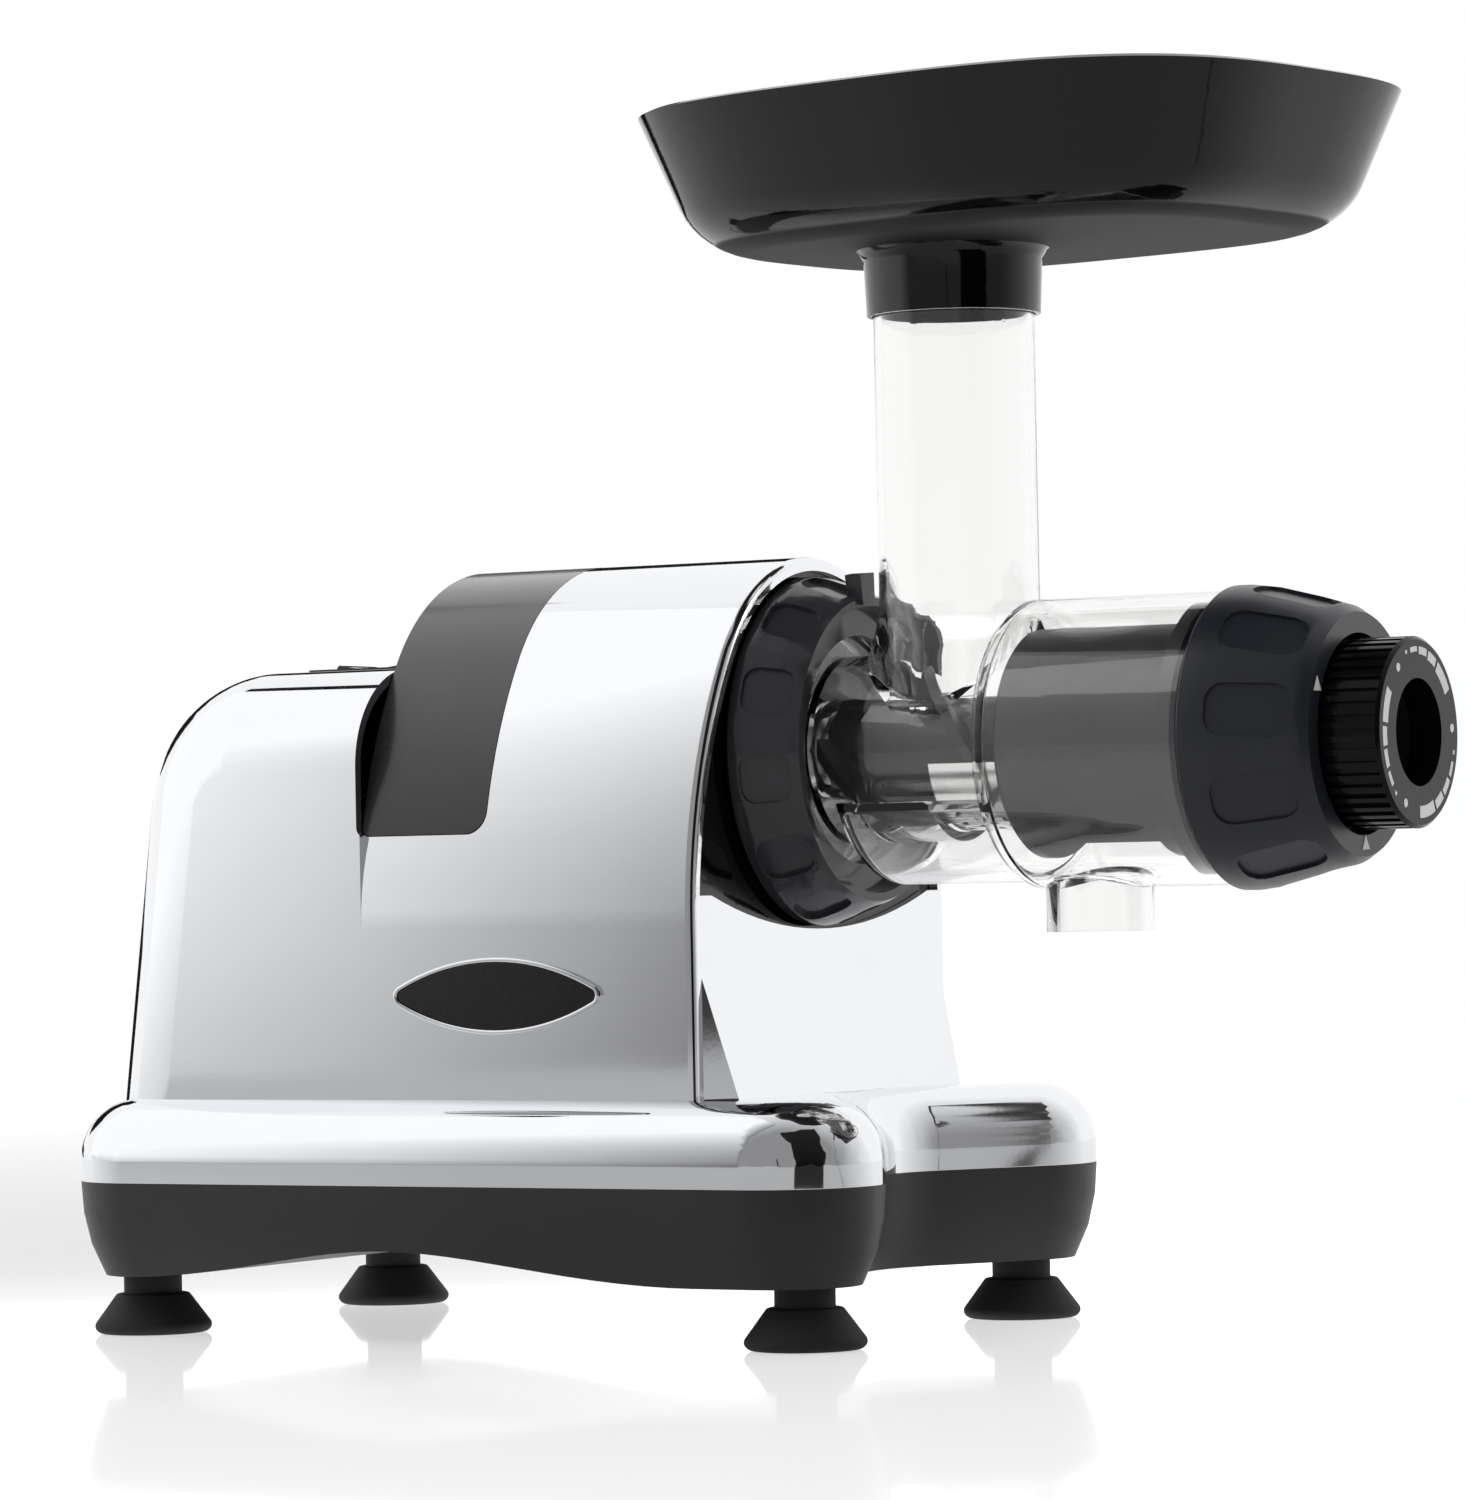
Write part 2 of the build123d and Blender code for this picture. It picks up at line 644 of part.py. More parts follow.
def handle_band():
    """Black saddle that doubles as the carry handle, with a finger pocket open to the rear."""
    x0, x1 = step_x + joint_gap, band_front_x - joint_gap
    skin = extrude(arch_section(x0), x1 - x0) - extrude(arch_section(x0 + wall, wall), x1 - x0)
    above = block(x0 - 1, x1 + 1, -100, 100, deck_z + joint_gap, crown_z + 1)
    low_rear = extrude(arch_section(x0 - 1, wall), wall + 2) - above
    body = (skin - low_rear) & band_prism(joint_gap)
    top = crown_z - grip_thickness
    liner = block(x0, x0 + pocket_depth + pocket_wall, -pocket_half_width - pocket_wall,
                  pocket_half_width + pocket_wall, pocket_floor_z - pocket_wall, top + pocket_wall)
    pocket = block(x0 - 1, x0 + pocket_depth, -pocket_half_width, pocket_half_width, pocket_floor_z, top)
    pocket = fillet(pocket.edges().filter_by(Axis.X), pocket_corner_r)
    pocket = pocket & extrude(arch_section(x0 - 1, grip_thickness), pocket_depth + 2)
    body += liner & extrude(arch_section(x0), x1 - x0)
    tab_x = (x0 + x1) / 2
    for side in (-1, 1):
        y = sorted((side * (housing_half_width - 2 * wall - 2 * pocket_wall), side * housing_half_width))
        tab = block(tab_x - band_tab, tab_x + band_tab, y[0], y[1], band_low_z - band_tab, band_low_z + band_tab)
        body += tab & extrude(arch_section(x0, wall + joint_gap), x1 - x0)
        root = block(tab_x - band_tab, tab_x + band_tab, y[0], y[1], band_low_z + 2 * joint_gap,
                     band_low_z + band_tab)
        body += root & extrude(arch_section(x0, wall - joint_gap), x1 - x0)
    return body - pocket


def lens(length, height, y0, y1):
    """Lens-shaped plate on the badge side, between two arcs."""
    tips = ((badge_x - length / 2, badge_z), (badge_x + length / 2, badge_z))
    face = make_face(ThreePointArc(tips[0], (badge_x, badge_z + height / 2), tips[1])
                     + ThreePointArc(tips[1], (badge_x, badge_z - height / 2), tips[0]))
    return Pos(0, y1, 0) * extrude(Plane.XZ * face, y1 - y0)


def badge_plate():
    """Bare black badge plate."""
    y = -housing_half_width
    return lens(badge_length - 2 * badge_rim_width * badge_length / badge_height, badge_height - 2 * badge_rim_width,
                y - badge_plate_thickness, y)


def badge_rim():
    """Bright frame round the badge plate."""
    y = -housing_half_width
    inner = lens(badge_length - 2 * badge_rim_width * badge_length / badge_height + 2 * screw_gap,
                 badge_height - 2 * badge_rim_width + 2 * screw_gap, y - 5, y + 5)
    return lens(badge_length, badge_height, y - badge_rim_thickness, y) - inner


def switch_bezel():
    """Frame of the switch, standing on the deck."""
    hx, hy = switch_length / 2, switch_width / 2
    body = rounded_box_at(switch_x, hx + bezel_flange, hy + bezel_flange, bezel_flange, deck_z, deck_z + bezel_height)
    body += block(switch_x - hx, switch_x + hx, -hy, hy, deck_z - bezel_skirt, deck_z)
    body -= block(switch_x - hx + bezel_wall, switch_x + hx - bezel_wall, bezel_wall - hy, hy - bezel_wall,
                  deck_z - bezel_skirt - 1, deck_z + bezel_height + 1)
    return body - Pos(switch_x, 0, rocker_z) * Rot(90, 0, 0) * Cylinder(rocker_pin_r + screw_gap, 4 * hy)


def rounded_box_at(x, hx, hy, r, z0, z1):
    """Upright rounded prism centred on x."""
    box = block(x - hx, x + hx, -hy, hy, z0, z1)
    return fillet(box.edges().filter_by(Axis.Z), r)


def switch_rocker():
    """Three-position rocker; it tilts about a pin along Y."""
    hx = switch_length / 2 - bezel_wall - rocker_clearance
    hy = switch_width / 2 - bezel_wall - rocker_clearance
    top = deck_z + rocker_rise
    dip = rocker_rise - bezel_height
    side = make_face(Polyline((switch_x - hx + rocker_draft, rocker_z - rocker_drop),
                              (switch_x - hx, top - dip / 2), (switch_x - hx + 1, top))
                     + ThreePointArc((switch_x - hx + 1, top), (switch_x, top - dip), (switch_x + hx - 1, top))
                     + Polyline((switch_x + hx - 1, top), (switch_x + hx, top - dip / 2),
                                (switch_x + hx - rocker_draft, rocker_z - rocker_drop),
                                (switch_x - hx + rocker_draft, rocker_z - rocker_drop)))
    swing = Pos(switch_x, 0, rocker_z) * Rot(90, 0, 0) * Cylinder(hx, 2 * hy)
    body = extrude(Plane.XZ * side, hy, both=True) & swing
    pin = Pos(switch_x, 0, rocker_z) * Rot(90, 0, 0) * Cylinder(rocker_pin_r + running_gap, 2 * hy + 2)
    return body - pin


def switch_body():
    """Contact block under the rocker, with the rocker's pin and six blade terminals."""
    hx, hy = switch_length / 2, switch_width / 2
    top = deck_z - bezel_skirt - joint_gap / 2
    body = block(switch_x - hx, switch_x + hx, -hy, hy, top - switch_body_depth, top)
    body -= block(switch_x - hx + bezel_wall, switch_x + hx - bezel_wall, bezel_wall - hy, hy - bezel_wall,
                  top - rocker_well, top + 1)
    for i in (-1, 0, 1):
        for side in (-1, 1):
            body += block(switch_x + i * 10 - 2.4, switch_x + i * 10 + 2.4, side * 5 - 0.4, side * 5 + 0.4,
                          top - switch_body_depth - terminal_length, top - switch_body_depth + 1)
    return body


def switch_pin():
    """Steel pin of the rocker, held in the bezel's skirt."""
    reach = switch_width / 2 - joint_gap / 2
    return Pos(switch_x, 0, rocker_z) * Rot(90, 0, 0) * Cylinder(rocker_pin_r, 2 * reach)


# ---------------------------------------------------------------- locking ring, drum, screen, auger

def recesses(count, x, r, lean, length, width, depth, corner_r, turn):
    """Cutters for finger recesses round the drum line, on a surface that leans in towards the front."""
    cutter = block(-length / 2, length / 2, -width / 2, width / 2, -depth, 2 * depth + corner_r)
    cutter = fillet(cutter.edges().filter_by(Axis.Z), corner_r)
    cutter = Pos(x, 0, r) * Rot(0, lean, 0) * cutter
    return [Pos(0, 0, drum_z) * Rot((i + 0.5) * 360 / count - turn, 0, 0) * cutter for i in range(count)]


def locking_ring():
    """Hand ring with finger scallops; it turns on the collar and its lip holds the drum's flange."""
    bore = collar_r + lug_height + clearance
    body = turned([(ring_back_x, bore), (ring_back_x, ring_r - 1.5), (ring_back_x + 1.5, ring_r),
                   (ring_waist_x, ring_r), ((ring_waist_x + ring_front_x) / 2, ring_r - 2.6),
                   (ring_front_x - 1.5, ring_front_r + 0.8), (ring_front_x, ring_front_r),
                   (ring_front_x, ring_mouth_r), (ring_lip_x + ring_lip_thickness, ring_mouth_r),
                   (ring_lip_x + ring_lip_thickness, ring_lip_r), (ring_lip_x, ring_lip_r), (ring_lip_x, bore)])
    body -= recesses(ring_scallops, scallop_x, scallop_surface_r, scallop_lean, scallop_length, scallop_width,
                     scallop_depth, scallop_corner_r, scallop_turn)
    body += ring_part(ring_front_x - 3.5, ring_front_x + 1.2, ring_front_r - 1.5, ring_front_r + 6.5,
                      thumb_tab_angle, 9.0)
    for angle in lug_angles:
        body += ring_part(ring_back_x, ring_back_x + lug_length - 0.6, collar_r + clearance, bore + 0.5,
                          angle - ring_turn - lug_angle, lug_angle)
    return body


def trough(inset):
    """Lower half-round channel under the inlet barrel, with a rounded rear end."""
    solid = x_cylinder(trough_rear_x + inset, barrel_rear_x + 4, trough_r - inset)
    rear = solid.edges().sort_by(Axis.X)[0]
    solid = fillet(rear, trough_corner_r - inset)
    return solid & block(trough_rear_x - 1, barrel_rear_x + 5, -50, 50, drum_z - 50, trough_top_z - inset)


def drum():
    """Clear drum: spigot, inlet barrel, main barrel, juice trough, feed chute and spout."""
    body = turned([(spigot_rear_x, 0), (spigot_rear_x, spigot_r), (flange_x, spigot_r), (flange_x, flange_r),
                   (flange_front_x, flange_r), (flange_front_x, inlet_r), (inlet_front_x, inlet_r),
                   (inlet_front_x + 3, inlet_r + 2.5), (barrel_rear_x - 2, barrel_r - 1.5),
                   (barrel_rear_x, barrel_r), (barrel_front_x, barrel_r), (barrel_front_x, thread_r),
                   (thread_front_x, thread_r), (thread_front_x, 0)])
    body += trough(0.0)
    body += z_cylinder(chute_x, 0, drum_z, chute_top_z, chute_r)
    body += turned_upright(chute_x, 0, [(0, drum_z), (chute_flare_r, drum_z),
                                        (chute_flare_r, drum_z + inlet_r - 2), (chute_r + 0.8, chute_flare_z - 6),
                                        (chute_r, chute_flare_z), (0, chute_flare_z)])
    body += z_cylinder(spout_x, 0, spout_low_z, drum_z, spout_r)
    bore = inlet_r - drum_wall
    main = barrel_r - drum_wall
    body -= turned([(spigot_rear_x + drum_wall, 0), (spigot_rear_x + drum_wall, hub_bore_r),
                    (auger_rear_x - clearance, hub_bore_r),
                    (auger_rear_x - clearance, bore), (inlet_front_x, bore), (barrel_rear_x + 0.5, main - 1),
                    (barrel_rear_x + 1.5, main), (barrel_front_x - 1, main),
                    (barrel_front_x - 1, thread_r - drum_wall), (thread_front_x + 1, thread_r - drum_wall),
                    (thread_front_x + 1, 0)])
    pocket = turned([(spigot_rear_x - 1, 0), (spigot_rear_x - 1, spigot_r - drum_wall),
                     (flange_x, spigot_r - drum_wall), (flange_x, hub_bore_r + drum_wall),
                     (spigot_rear_x + 1, hub_bore_r + drum_wall), (spigot_rear_x + 1, 0)])
    body -= pocket
    body -= x_cylinder(spigot_rear_x - 1, auger_rear_x, hub_bore_r)
    body -= trough(drum_wall) - x_cylinder(trough_rear_x - 5, mesh_rear_x - 1, inlet_r)
    body -= z_cylinder(chute_x, 0, drum_z, chute_top_z + 1, chute_bore_r)
    return body - z_cylinder(spout_x, 0, spout_low_z - 1, drum_z - frame_r, spout_r - drum_wall)


def drum_seal():
    """Rubber ring between the drum's flange and the collar."""
    return x_cylinder(collar_front_x, flange_x, flange_r - 1) - x_cylinder(collar_front_x - 1, flange_x + 1,
                                                                          collar_bore_r)


def screen_mesh():
    """Perforated steel half sleeve under the auger."""
    body = ring_part(mesh_rear_x, mesh_front_x, mesh_r - mesh_thickness, mesh_r, 270, 2 * mesh_half_angle)
    columns = int((mesh_front_x - mesh_rear_x) / mesh_pitch) - 1
    step = degrees(mesh_pitch / mesh_r)
    holes = []
    for i in range(columns):
        x = mesh_rear_x + (i + 1) * mesh_pitch
        shift = 0.25 if i % 2 else -0.25
        for j in range(mesh_rows):
            turn = (j - (mesh_rows - 1) / 2 + shift) * step
            holes.append(Pos(0, 0, drum_z) * Rot(turn, 0, 0)
                         * z_cylinder(x, 0, -mesh_r - 2, -mesh_r + 2 * mesh_thickness + 1, mesh_hole_r))
    return body - holes


def screen_frame():
    """Dark frame that holds the mesh inside the main barrel, with a spider for the auger's front journal."""
    bore = mesh_r + 0.1
    body = turned([(frame_rear_x, bore), (frame_rear_x, frame_r - 1), (frame_rear_x + 1, frame_r),
                   (frame_flange_x, frame_r), (frame_flange_x, barrel_r - drum_wall - clearance),
                   (frame_front_x, barrel_r - drum_wall - clearance), (frame_front_x, bore)])
    body -= block(frame_rear_x + 4, mesh_front_x - 4, -window_half_width, window_half_width,
                  drum_z - frame_r - 1, drum_z - 10)
    hub = x_cylinder(mesh_front_x + 2, frame_front_x, hub_r)
    for i in range(3):
        spoke = block(mesh_front_x + 2, frame_front_x, -spoke_width / 2, spoke_width / 2, 0, bore + 1)
        hub += Pos(0, 0, drum_z) * Rot(60 + i * 120, 0, 0) * spoke
    return body + hub - x_cylinder(mesh_front_x, frame_front_x + 1, spindle_r + running_gap)


def auger():
    """Moulded auger: two flights twisted round a core that thickens towards the outlet."""
    section = Circle(auger_core_r)
    section += Rectangle(2 * auger_r, flight_width) & Circle(auger_r)
    section = Plane(origin=(auger_rear_x, 0, drum_z), x_dir=(0, 1, 0), z_dir=(1, 0, 0)) * section
    length = auger_front_x - auger_rear_x
    flights = Part(Solid.extrude_linear_with_rotation(section.faces()[0], (auger_rear_x, 0, drum_z),
                                                      (length, 0, 0), auger_twist).wrapped)
    core = turned([(auger_rear_x, 0), (auger_rear_x, auger_core_r + 1), (auger_rear_x + 6, auger_core_r + 0.3),
                   (auger_front_x - 40, auger_core_r + 0.3), (auger_front_x - 4, auger_tip_core_r),
                   (auger_front_x, auger_tip_core_r - 3), (auger_front_x, 0)])
    return (flights + core) - x_cylinder(auger_rear_x - 1, auger_front_x + 1, spindle_r)


def hexagon(x0, x1, flats, z=drum_z):
    """Hexagonal bar along X."""
    face = Plane(origin=(x0, 0, z), x_dir=(0, 1, 0), z_dir=(1, 0, 0)) * RegularPolygon(flats / sqrt(3), 6)
    return extrude(face, x1 - x0, dir=(1, 0, 0))


def auger_spindle():
    """Steel core of the auger: hexagon at the rear for the drive socket, round journal at the front."""
    return x_cylinder(auger_rear_x, spindle_front_x, spindle_r) + hexagon(hex_rear_x, auger_rear_x, hex_across)


# ---------------------------------------------------------------- cap, dial, tray

def drum_cap():
    """End cap with finger scoops; it turns onto the barrel's reduced end and carries the pulp nozzle."""
    bore = thread_r + clearance
    floor_x = dial_rear_x - clearance - seal_ring
    body = turned([(cap_rear_x, bore), (cap_rear_x, cap_r - 0.8), (cap_rear_x + 0.8, cap_r),
                   (cap_rear_x + 4, cap_r), (cap_rear_x + 11, cap_r - 0.9), (cap_rear_x + 22, cap_r - 3.6),
                   (cap_front_x - 3, cap_front_r + 2.0), (cap_front_x, cap_front_r), (cap_front_x, cap_mouth_r),
                   (floor_x, cap_mouth_r), (floor_x, nozzle_r), (nozzle_front_x, nozzle_r),
                   (nozzle_front_x, nozzle_bore_r), (floor_x - cap_wall, nozzle_bore_r),
                   (floor_x - cap_wall, bore - 4), (thread_front_x + 1, bore - 4), (thread_front_x + 1, bore)])
    body -= recesses(cap_scoops, cap_rear_x + scoop_x, cap_r - scoop_inset, scoop_lean, scoop_length, scoop_width,
                     scoop_depth, scoop_corner_r, scoop_turn)
    return body


def cap_seal():
    """Rubber ring between barrel end and cap."""
    return (x_cylinder(thread_front_x, thread_front_x + 1, thread_r)
            - x_cylinder(thread_front_x - 1, thread_front_x + 2, thread_r - drum_wall))


def dial_seal():
    """Flat ring in the cap's recess, behind the dial."""
    floor_x = dial_rear_x - clearance - seal_ring
    return (x_cylinder(floor_x, floor_x + seal_ring, cap_mouth_r - 1)
            - x_cylinder(floor_x - 1, dial_rear_x, nozzle_r + clearance))


def end_dial():
    """Ribbed dial that sets how freely the pulp leaves."""
    body = turned([(dial_rear_x, nozzle_r + clearance), (dial_rear_x, dial_r - 1), (dial_rear_x + 5, dial_r - 1),
                   (dial_rear_x + 6, dial_r), (dial_face_x - 0.9, dial_r), (dial_face_x, dial_r - 0.9),
                   (dial_face_x, dial_bore_r), (nozzle_front_x + clearance, dial_bore_r),
                   (nozzle_front_x + clearance, nozzle_r + clearance)])
    ribs = [Pos(0, 0, drum_z) * Rot(i * 360 / dial_ribs, 0, 0)
            * block(dial_rear_x + 5.5, dial_face_x - dial_rim, -0.9, 0.9, dial_r - rib_depth, dial_r + 1)
            for i in range(dial_ribs)]
    return body - ribs


def tray_plan(a, b, z):
    """Rounded plan of the tray, a superellipse."""
    points = []
    for i in range(32):
        t = 2 * pi * (i + 0.5) / 32
        points.append((a * abs(cos(t)) ** (2 / tray_power) * (1 if cos(t) > 0 else -1),
                       b * abs(sin(t)) ** (2 / tray_power) * (1 if sin(t) > 0 else -1)))
    plan = make_face(Spline(points, periodic=True))
    return Pos(tray_x, 0, z) * Rot(0, 0, tray_turn) * plan


def tray_form(inset, low_z, high_z):
    """Flared dish as a full block."""
    height = tray_rim_z - tray_bottom_z

    def at(z, extra=0.0):
        grow = tray_flare * (z - tray_rim_z) / height - inset - extra
        return tray_plan(tray_half_length + grow, tray_half_width + grow, z)

    edge = tray_edge - min(inset, tray_edge / 2)
    faces = [at(low_z, edge * 0.75), at(low_z + edge * 0.3, edge * 0.2), at(low_z + edge), at(high_z)]
    return Part() + [loft([faces[i], faces[i + 1]], ruled=True) for i in range(3)]


def tray():
    """Loading tray with the collar that sits over the feed chute."""
    body = tray_form(0.0, tray_bottom_z, tray_rim_z)
    body -= tray_form(tray_wall, tray_bottom_z + tray_wall, tray_rim_z + 1)
    neck = turned_upright(chute_x, 0, [(0, tray_collar_low_z), (tray_collar_r - 0.6, tray_collar_low_z),
                                       (tray_collar_r, tray_bottom_z - 5), (tray_collar_r + 4, tray_bottom_z - 0.8),
                                       (tray_collar_r + 6, tray_bottom_z + 1), (0, tray_bottom_z + 1)])
    body += neck
    body -= z_cylinder(chute_x, 0, tray_collar_low_z - 1, chute_top_z + clearance, chute_r + clearance)
    return body - z_cylinder(chute_x, 0, chute_top_z - 1, tray_bottom_z + tray_wall + 1, chute_bore_r)


# ---------------------------------------------------------------- drive train

def idler_place():
    """Idler axis (y, z), from the two centre distances."""
    near = first_module * (first_pinion_teeth + first_gear_teeth) / 2
    far = second_module * (second_pinion_teeth + second_gear_teeth) / 2
    rise = drum_z - motor_z
    z = motor_z + (rise ** 2 + near ** 2 - far ** 2) / (2 * rise)
    return sqrt(near ** 2 - (z - motor_z) ** 2), z


idler_y, idler_z = idler_place()


def spur_gear(x, width, y, z, teeth, module, addendum, first_tooth):
    """Spur gear with involute flanks; first_tooth is the angle of one tooth's centre from +Y towards +Z."""
    pitch_r = module * teeth / 2
    base_r = pitch_r * cos(radians(pressure_angle))
    tip_r = pitch_r + addendum * module
    root_r = pitch_r - dedendum * module
    half_thick = pi / (2 * teeth) - backlash * module / (2 * pitch_r)
    unroll = tan(radians(pressure_angle)) - radians(pressure_angle)

    def flank(r):
        """Half the tooth's angle at radius r."""
        pressure = acos(min(1.0, base_r / r))
        return half_thick + unroll - (tan(pressure) - pressure)

    low = max(base_r, root_r + 0.05)
    radii = [root_r] + [low + (tip_r - low) * k / 4 for k in range(5)]
    points = []
    for n in range(teeth):
        centre = radians(first_tooth) + 2 * pi * n / teeth
        points += [(r * cos(centre - flank(max(r, low))), r * sin(centre - flank(max(r, low)))) for r in radii]
        points += [(r * cos(centre + flank(max(r, low))), r * sin(centre + flank(max(r, low))))
                   for r in reversed(radii)]
    face = make_face(Polyline(points, close=True))
    plane = Plane(origin=(x, y, z), x_dir=(0, 1, 0), z_dir=(1, 0, 0))
    return extrude(plane * face, width, dir=(1, 0, 0))


to_idler = degrees(atan2(idler_z - motor_z, idler_y))
to_output = degrees(atan2(drum_z - idler_z, -idler_y))


def output_gear():
    """Large gear on the output shaft, with a lightened web."""
    gap = to_output + 180 + 180 / second_gear_teeth
    body = spur_gear(second_gear_x, second_gear_width, 0, drum_z, second_gear_teeth, second_module,
                     gear_addendum, gap)
    rim_r = second_module * second_gear_teeth / 2 - 5
    for x in (second_gear_x - 1, second_gear_x + second_gear_width - 3):
        body -= x_cylinder(x, x + 4, rim_r) - x_cylinder(x - 1, x + 5, output_r + 5)
    return body - x_cylinder(second_gear_x - 1, second_gear_x + second_gear_width + 1, output_r)


def output_shaft():
    """Hollow output shaft with the hexagonal drive socket for the auger."""
    rear = gearbox_rear_x + 1
    body = turned([(rear, 0), (rear, output_journal_r), (first_gear_x + 1, output_journal_r),
                   (first_gear_x + 1, output_r), (output_front_x, output_r), (output_front_x, 0)])
    return body - hexagon(hex_rear_x - 1, output_front_x + 1, hex_across + 2 * running_gap)


def idler_shaft():
    """Steel shaft of the idler."""
    return x_cylinder(gearbox_rear_x + 1, gearbox_front_x - 1, idler_r, idler_y, idler_z)


def idler_gear():
    """Large idler wheel, driven by the motor pinion."""
    gap = to_idler + 180 + 180 / first_gear_teeth
    body = spur_gear(first_gear_x, first_gear_width, idler_y, idler_z, first_gear_teeth, first_module,
                     gear_addendum, gap)
    return body - x_cylinder(first_gear_x - 1, first_gear_x + first_gear_width + 1, idler_r, idler_y, idler_z)


def idler_pinion():
    """Small steel pinion beside the idler wheel, in mesh with the output gear."""
    body = spur_gear(second_gear_x, second_gear_width, idler_y, idler_z, second_pinion_teeth, second_module,
                     pinion_addendum, to_output)
    body += x_cylinder(first_gear_x + first_gear_width, second_gear_x, idler_r + 3, idler_y, idler_z)
    return body - x_cylinder(first_gear_x, second_gear_x + second_gear_width + 1, idler_r, idler_y, idler_z)


def motor_pinion():
    """Small pinion on the motor shaft."""
    body = spur_gear(first_gear_x, first_gear_width, 0, motor_z, first_pinion_teeth, first_module,
                     pinion_addendum, to_idler)
    return body - x_cylinder(first_gear_x - 1, first_gear_x + first_gear_width + 1, pinion_bore_r, 0, motor_z)


def bush(x0, x1, bore_r, y=0.0, z=drum_z):
    """Sintered bush."""
    return x_cylinder(x0, x1, bore_r + bush_wall, y, z) - x_cylinder(x0 - 1, x1 + 1, bore_r, y, z)


def output_bushes():
    """Front and rear bushes of the output shaft."""
    return [bush(gearbox_rear_x + 0.8, gearbox_rear_x + 0.8 + bush_length - 1, output_journal_r + running_gap),
            bush(gearbox_front_x - bush_length + 1, gearbox_front_x, output_r + running_gap)]


def idler_bushes():
    """Front and rear bushes of the idler shaft."""
    return [bush(gearbox_rear_x + 0.8, gearbox_rear_x + gearbox_wall + 2, idler_r + running_gap, idler_y, idler_z),
            bush(gearbox_split_x + 0.4, gearbox_front_x - 0.8, idler_r + running_gap, idler_y, idler_z)]


def gearbox_outline(grow):
    """Outline round the output gear, the idler wheel and the motor's front, in the plane across the shafts."""
    big = second_module * second_gear_teeth / 2 + second_module * gear_addendum + gear_room + grow
    mid = first_module * first_gear_teeth / 2 + first_module * gear_addendum + gear_room + grow
    low = gearbox_low_r + grow
    discs = [Pos(0, drum_z) * Circle(big), Pos(idler_y, idler_z) * Circle(mid), Pos(0, motor_z) * Circle(low)]
    return make_hull([edge for disc in discs for edge in disc.edges()])


def screw_places():
    """Places (y, z) of the gearbox screws, on the outline's flange."""
    big = second_module * (second_gear_teeth / 2 + gear_addendum) + gear_room + gearbox_screw_boss_r
    low = gearbox_low_r + gearbox_screw_boss_r / 2
    return [(-big * cos(radians(15)), drum_z + big * sin(radians(15))), (0, drum_z + big),
            (-low, motor_z - 6), (0, motor_z - low)]


def gearbox_housing():
    """Cast housing behind the gears, with the rear bearing seats and the feet."""
    shell = extrude(across(gearbox_rear_x) * gearbox_outline(gearbox_wall), gearbox_split_x - gearbox_rear_x,
                    dir=(1, 0, 0))
    shell -= extrude(across(gearbox_rear_x + gearbox_wall) * gearbox_outline(0), gearbox_split_x, dir=(1, 0, 0))
    shell += x_cylinder(gearbox_rear_x, gearbox_rear_x + bush_length, output_journal_r + bush_wall + 2.4)
    shell += x_cylinder(gearbox_rear_x, first_gear_x - 1, idler_r + bush_wall + 2.4, idler_y, idler_z)
    shell -= x_cylinder(gearbox_rear_x + 0.7, first_gear_x + 4, output_journal_r + bush_wall + running_gap)
    shell -= x_cylinder(gearbox_rear_x + 0.7, first_gear_x + 4, idler_r + bush_wall + running_gap,
                        idler_y, idler_z)
    shell -= x_cylinder(gearbox_rear_x - 1, first_gear_x, ball_bearing_r + running_gap, 0, motor_z)
    for y, z in screw_places():
        shell += x_cylinder(gearbox_split_x - 12, gearbox_split_x, gearbox_screw_boss_r, y, z)
        shell -= x_cylinder(gearbox_split_x - 11, gearbox_split_x + 1, motor_bolt_r + screw_gap, y, z)
    return shell + feet(mount_front_x, motor_z - gearbox_low_r) - feet_holes(mount_front_x)


def feet(x, top_z):
    """Two feet with their webs, under the gearbox or the motor."""
    z0 = mount_low_z + mount_rubber
    body = block(x - mount_r, x + mount_r, -mount_y - mount_r, mount_y + mount_r, z0, z0 + mount_foot)
    return body + block(x - 3, x + 3, -mount_y + mount_r, mount_y - mount_r, z0, top_z + 6)


def feet_holes(x):
    """Screw holes of two feet."""
    z0 = mount_low_z + mount_rubber
    return (z_cylinder(x, mount_y, z0 - 1, z0 + mount_foot + 1, mount_screw_r + screw_gap)
            + z_cylinder(x, -mount_y, z0 - 1, z0 + mount_foot + 1, mount_screw_r + screw_gap))


def gearbox_cover():
    """Front cover of the gearbox with the front bearing seats and the seal's recess."""
    body = extrude(across(gearbox_split_x + joint_gap / 2) * gearbox_outline(gearbox_wall),
                   gearbox_front_x - gearbox_split_x, dir=(1, 0, 0))
    body += x_cylinder(gearbox_front_x - 1, gearbox_nose_x, shaft_seal_r + 3)
    body -= x_cylinder(gearbox_front_x - bush_length, gearbox_front_x + 0.1, output_r + bush_wall + running_gap)
    body -= x_cylinder(gearbox_front_x, gearbox_nose_x + 1, shaft_seal_r)
    body -= x_cylinder(gearbox_split_x - 1, gearbox_front_x - 0.7, idler_r + bush_wall + running_gap,
                       idler_y, idler_z)
    for y, z in screw_places():
        body += x_cylinder(gearbox_split_x + joint_gap / 2, gearbox_front_x + joint_gap / 2,
                           gearbox_screw_boss_r, y, z)
        body -= x_cylinder(gearbox_split_x - 1, gearbox_front_x + 1, motor_bolt_r + screw_gap, y, z)
    return body


